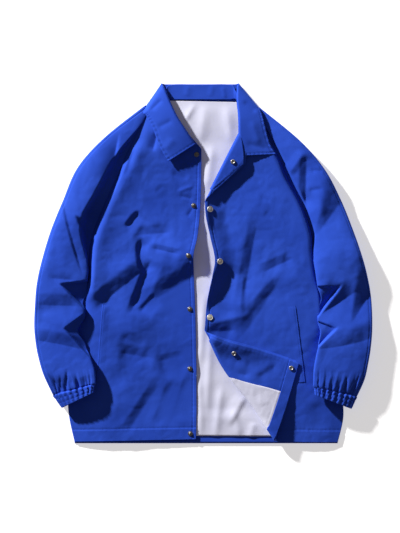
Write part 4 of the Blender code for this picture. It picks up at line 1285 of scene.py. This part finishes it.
cornerBox = [(-46.8, -366.0), (-46.8, -343.5)]  # closes the box sewn where the hem meets the right front edge
stitching = {
    "front_right": sew("front_right_stitches", frontRight, [
        edgeLine(rightCloth, stitchRuns["rightEdge"]), hemLine(rightFront, stitchRuns["rightHem"]),
        seamLine(rightCloth, stitchRuns["rightSeam"]), cornerBox]),
    "front_left": sew("front_left_stitches", frontLeft, [
        edgeLine(leftCloth, stitchRuns["leftEdge"]), hemLine(leftFront, stitchRuns["leftHem"]),
        seamLine(leftCloth, stitchRuns["leftSeam"])]),
    "corner_facing": sew("corner_facing_stitches", turnedCloth["corner_facing"], [
        edgeLine(leftCloth, stitchRuns["cornerEdge"])]),
    "lapel_facing": sew("lapel_facing_stitches", turnedCloth["lapel_facing"], [
        edgeLine(leftCloth, stitchRuns["lapelEdge"])]),
    "collar_fall": sew("collar_fall_stitches", fallCloth, fallLines()),
}
for side, sleeve in sleeves.items():
    front, cuff, welt = f"sleeve_{side}_front", f"cuff_{side}", f"pocket_welt_{side}"
    stitching[front] = sew(f"sleeve_{side}_stitches", sleeveCloth[front], [overarmLine(sleeve)])
    stitching[cuff] = sew(f"{cuff}_stitches", sleeveCloth[cuff], cuffLines(sleeve))
    stitching[welt] = sew(f"{welt}_stitches", weltCloth[side], weltLines(side))
print("stitching ready")

# What each cloth was cut to, in metres, and what it lies on
clothCuts = [
    (frontRight, rightFront["cut"], rightFront["area"], "laid", ["back_lining_cloth"]),
    (frontLeft, leftFront["cut"], leftFront["area"], "folded", ["back_lining_cloth"]),
    (backCloth, backCut["cut"], backCut["area"], "laid", ["floor"]),
    (hemCloth, backCut["hemCut"], None, "laid", ["back_cloth"]),
    (liningCloth, backCut["liningCut"], backCut["liningArea"], "laid", ["back_cloth"]),
    (fallCloth, collarFall["cut"], collarFall["area"], "folded", ["front_right_cloth", "front_left_cloth"]),
    (standCloth, collarStand["cut"], collarStand["area"], "folded", ["back_cloth"]),
]
clothCuts += [(turnedCloth[name], cut["cut"], cut["area"], "folded", ["front_left_cloth"])
              for name, cut in turnedPieces.items()]
for side, cut in (("right", rightSleeve), ("left", leftSleeve)):
    for piece, node, held, under in (("front", f"sleeve_{side}_front", "laid", f"sleeve_{side}_back_cloth"),
                                     ("back", f"sleeve_{side}_back", "laid", "floor"),
                                     ("band", f"cuff_{side}", "gathered", "floor")):
        clothCuts.append((sleeveCloth[node], cut[piece]["cut"], cut[piece]["area"], held, [under]))
    clothCuts.append((weltCloth[side], weltCut["cut"], None, "laid", [f"front_{side}_cloth"]))
for cloth, flat, area, held, under in clothCuts:
    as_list(under)
print("cloth sizes stated:", len(clothCuts))

print("jacket ready")
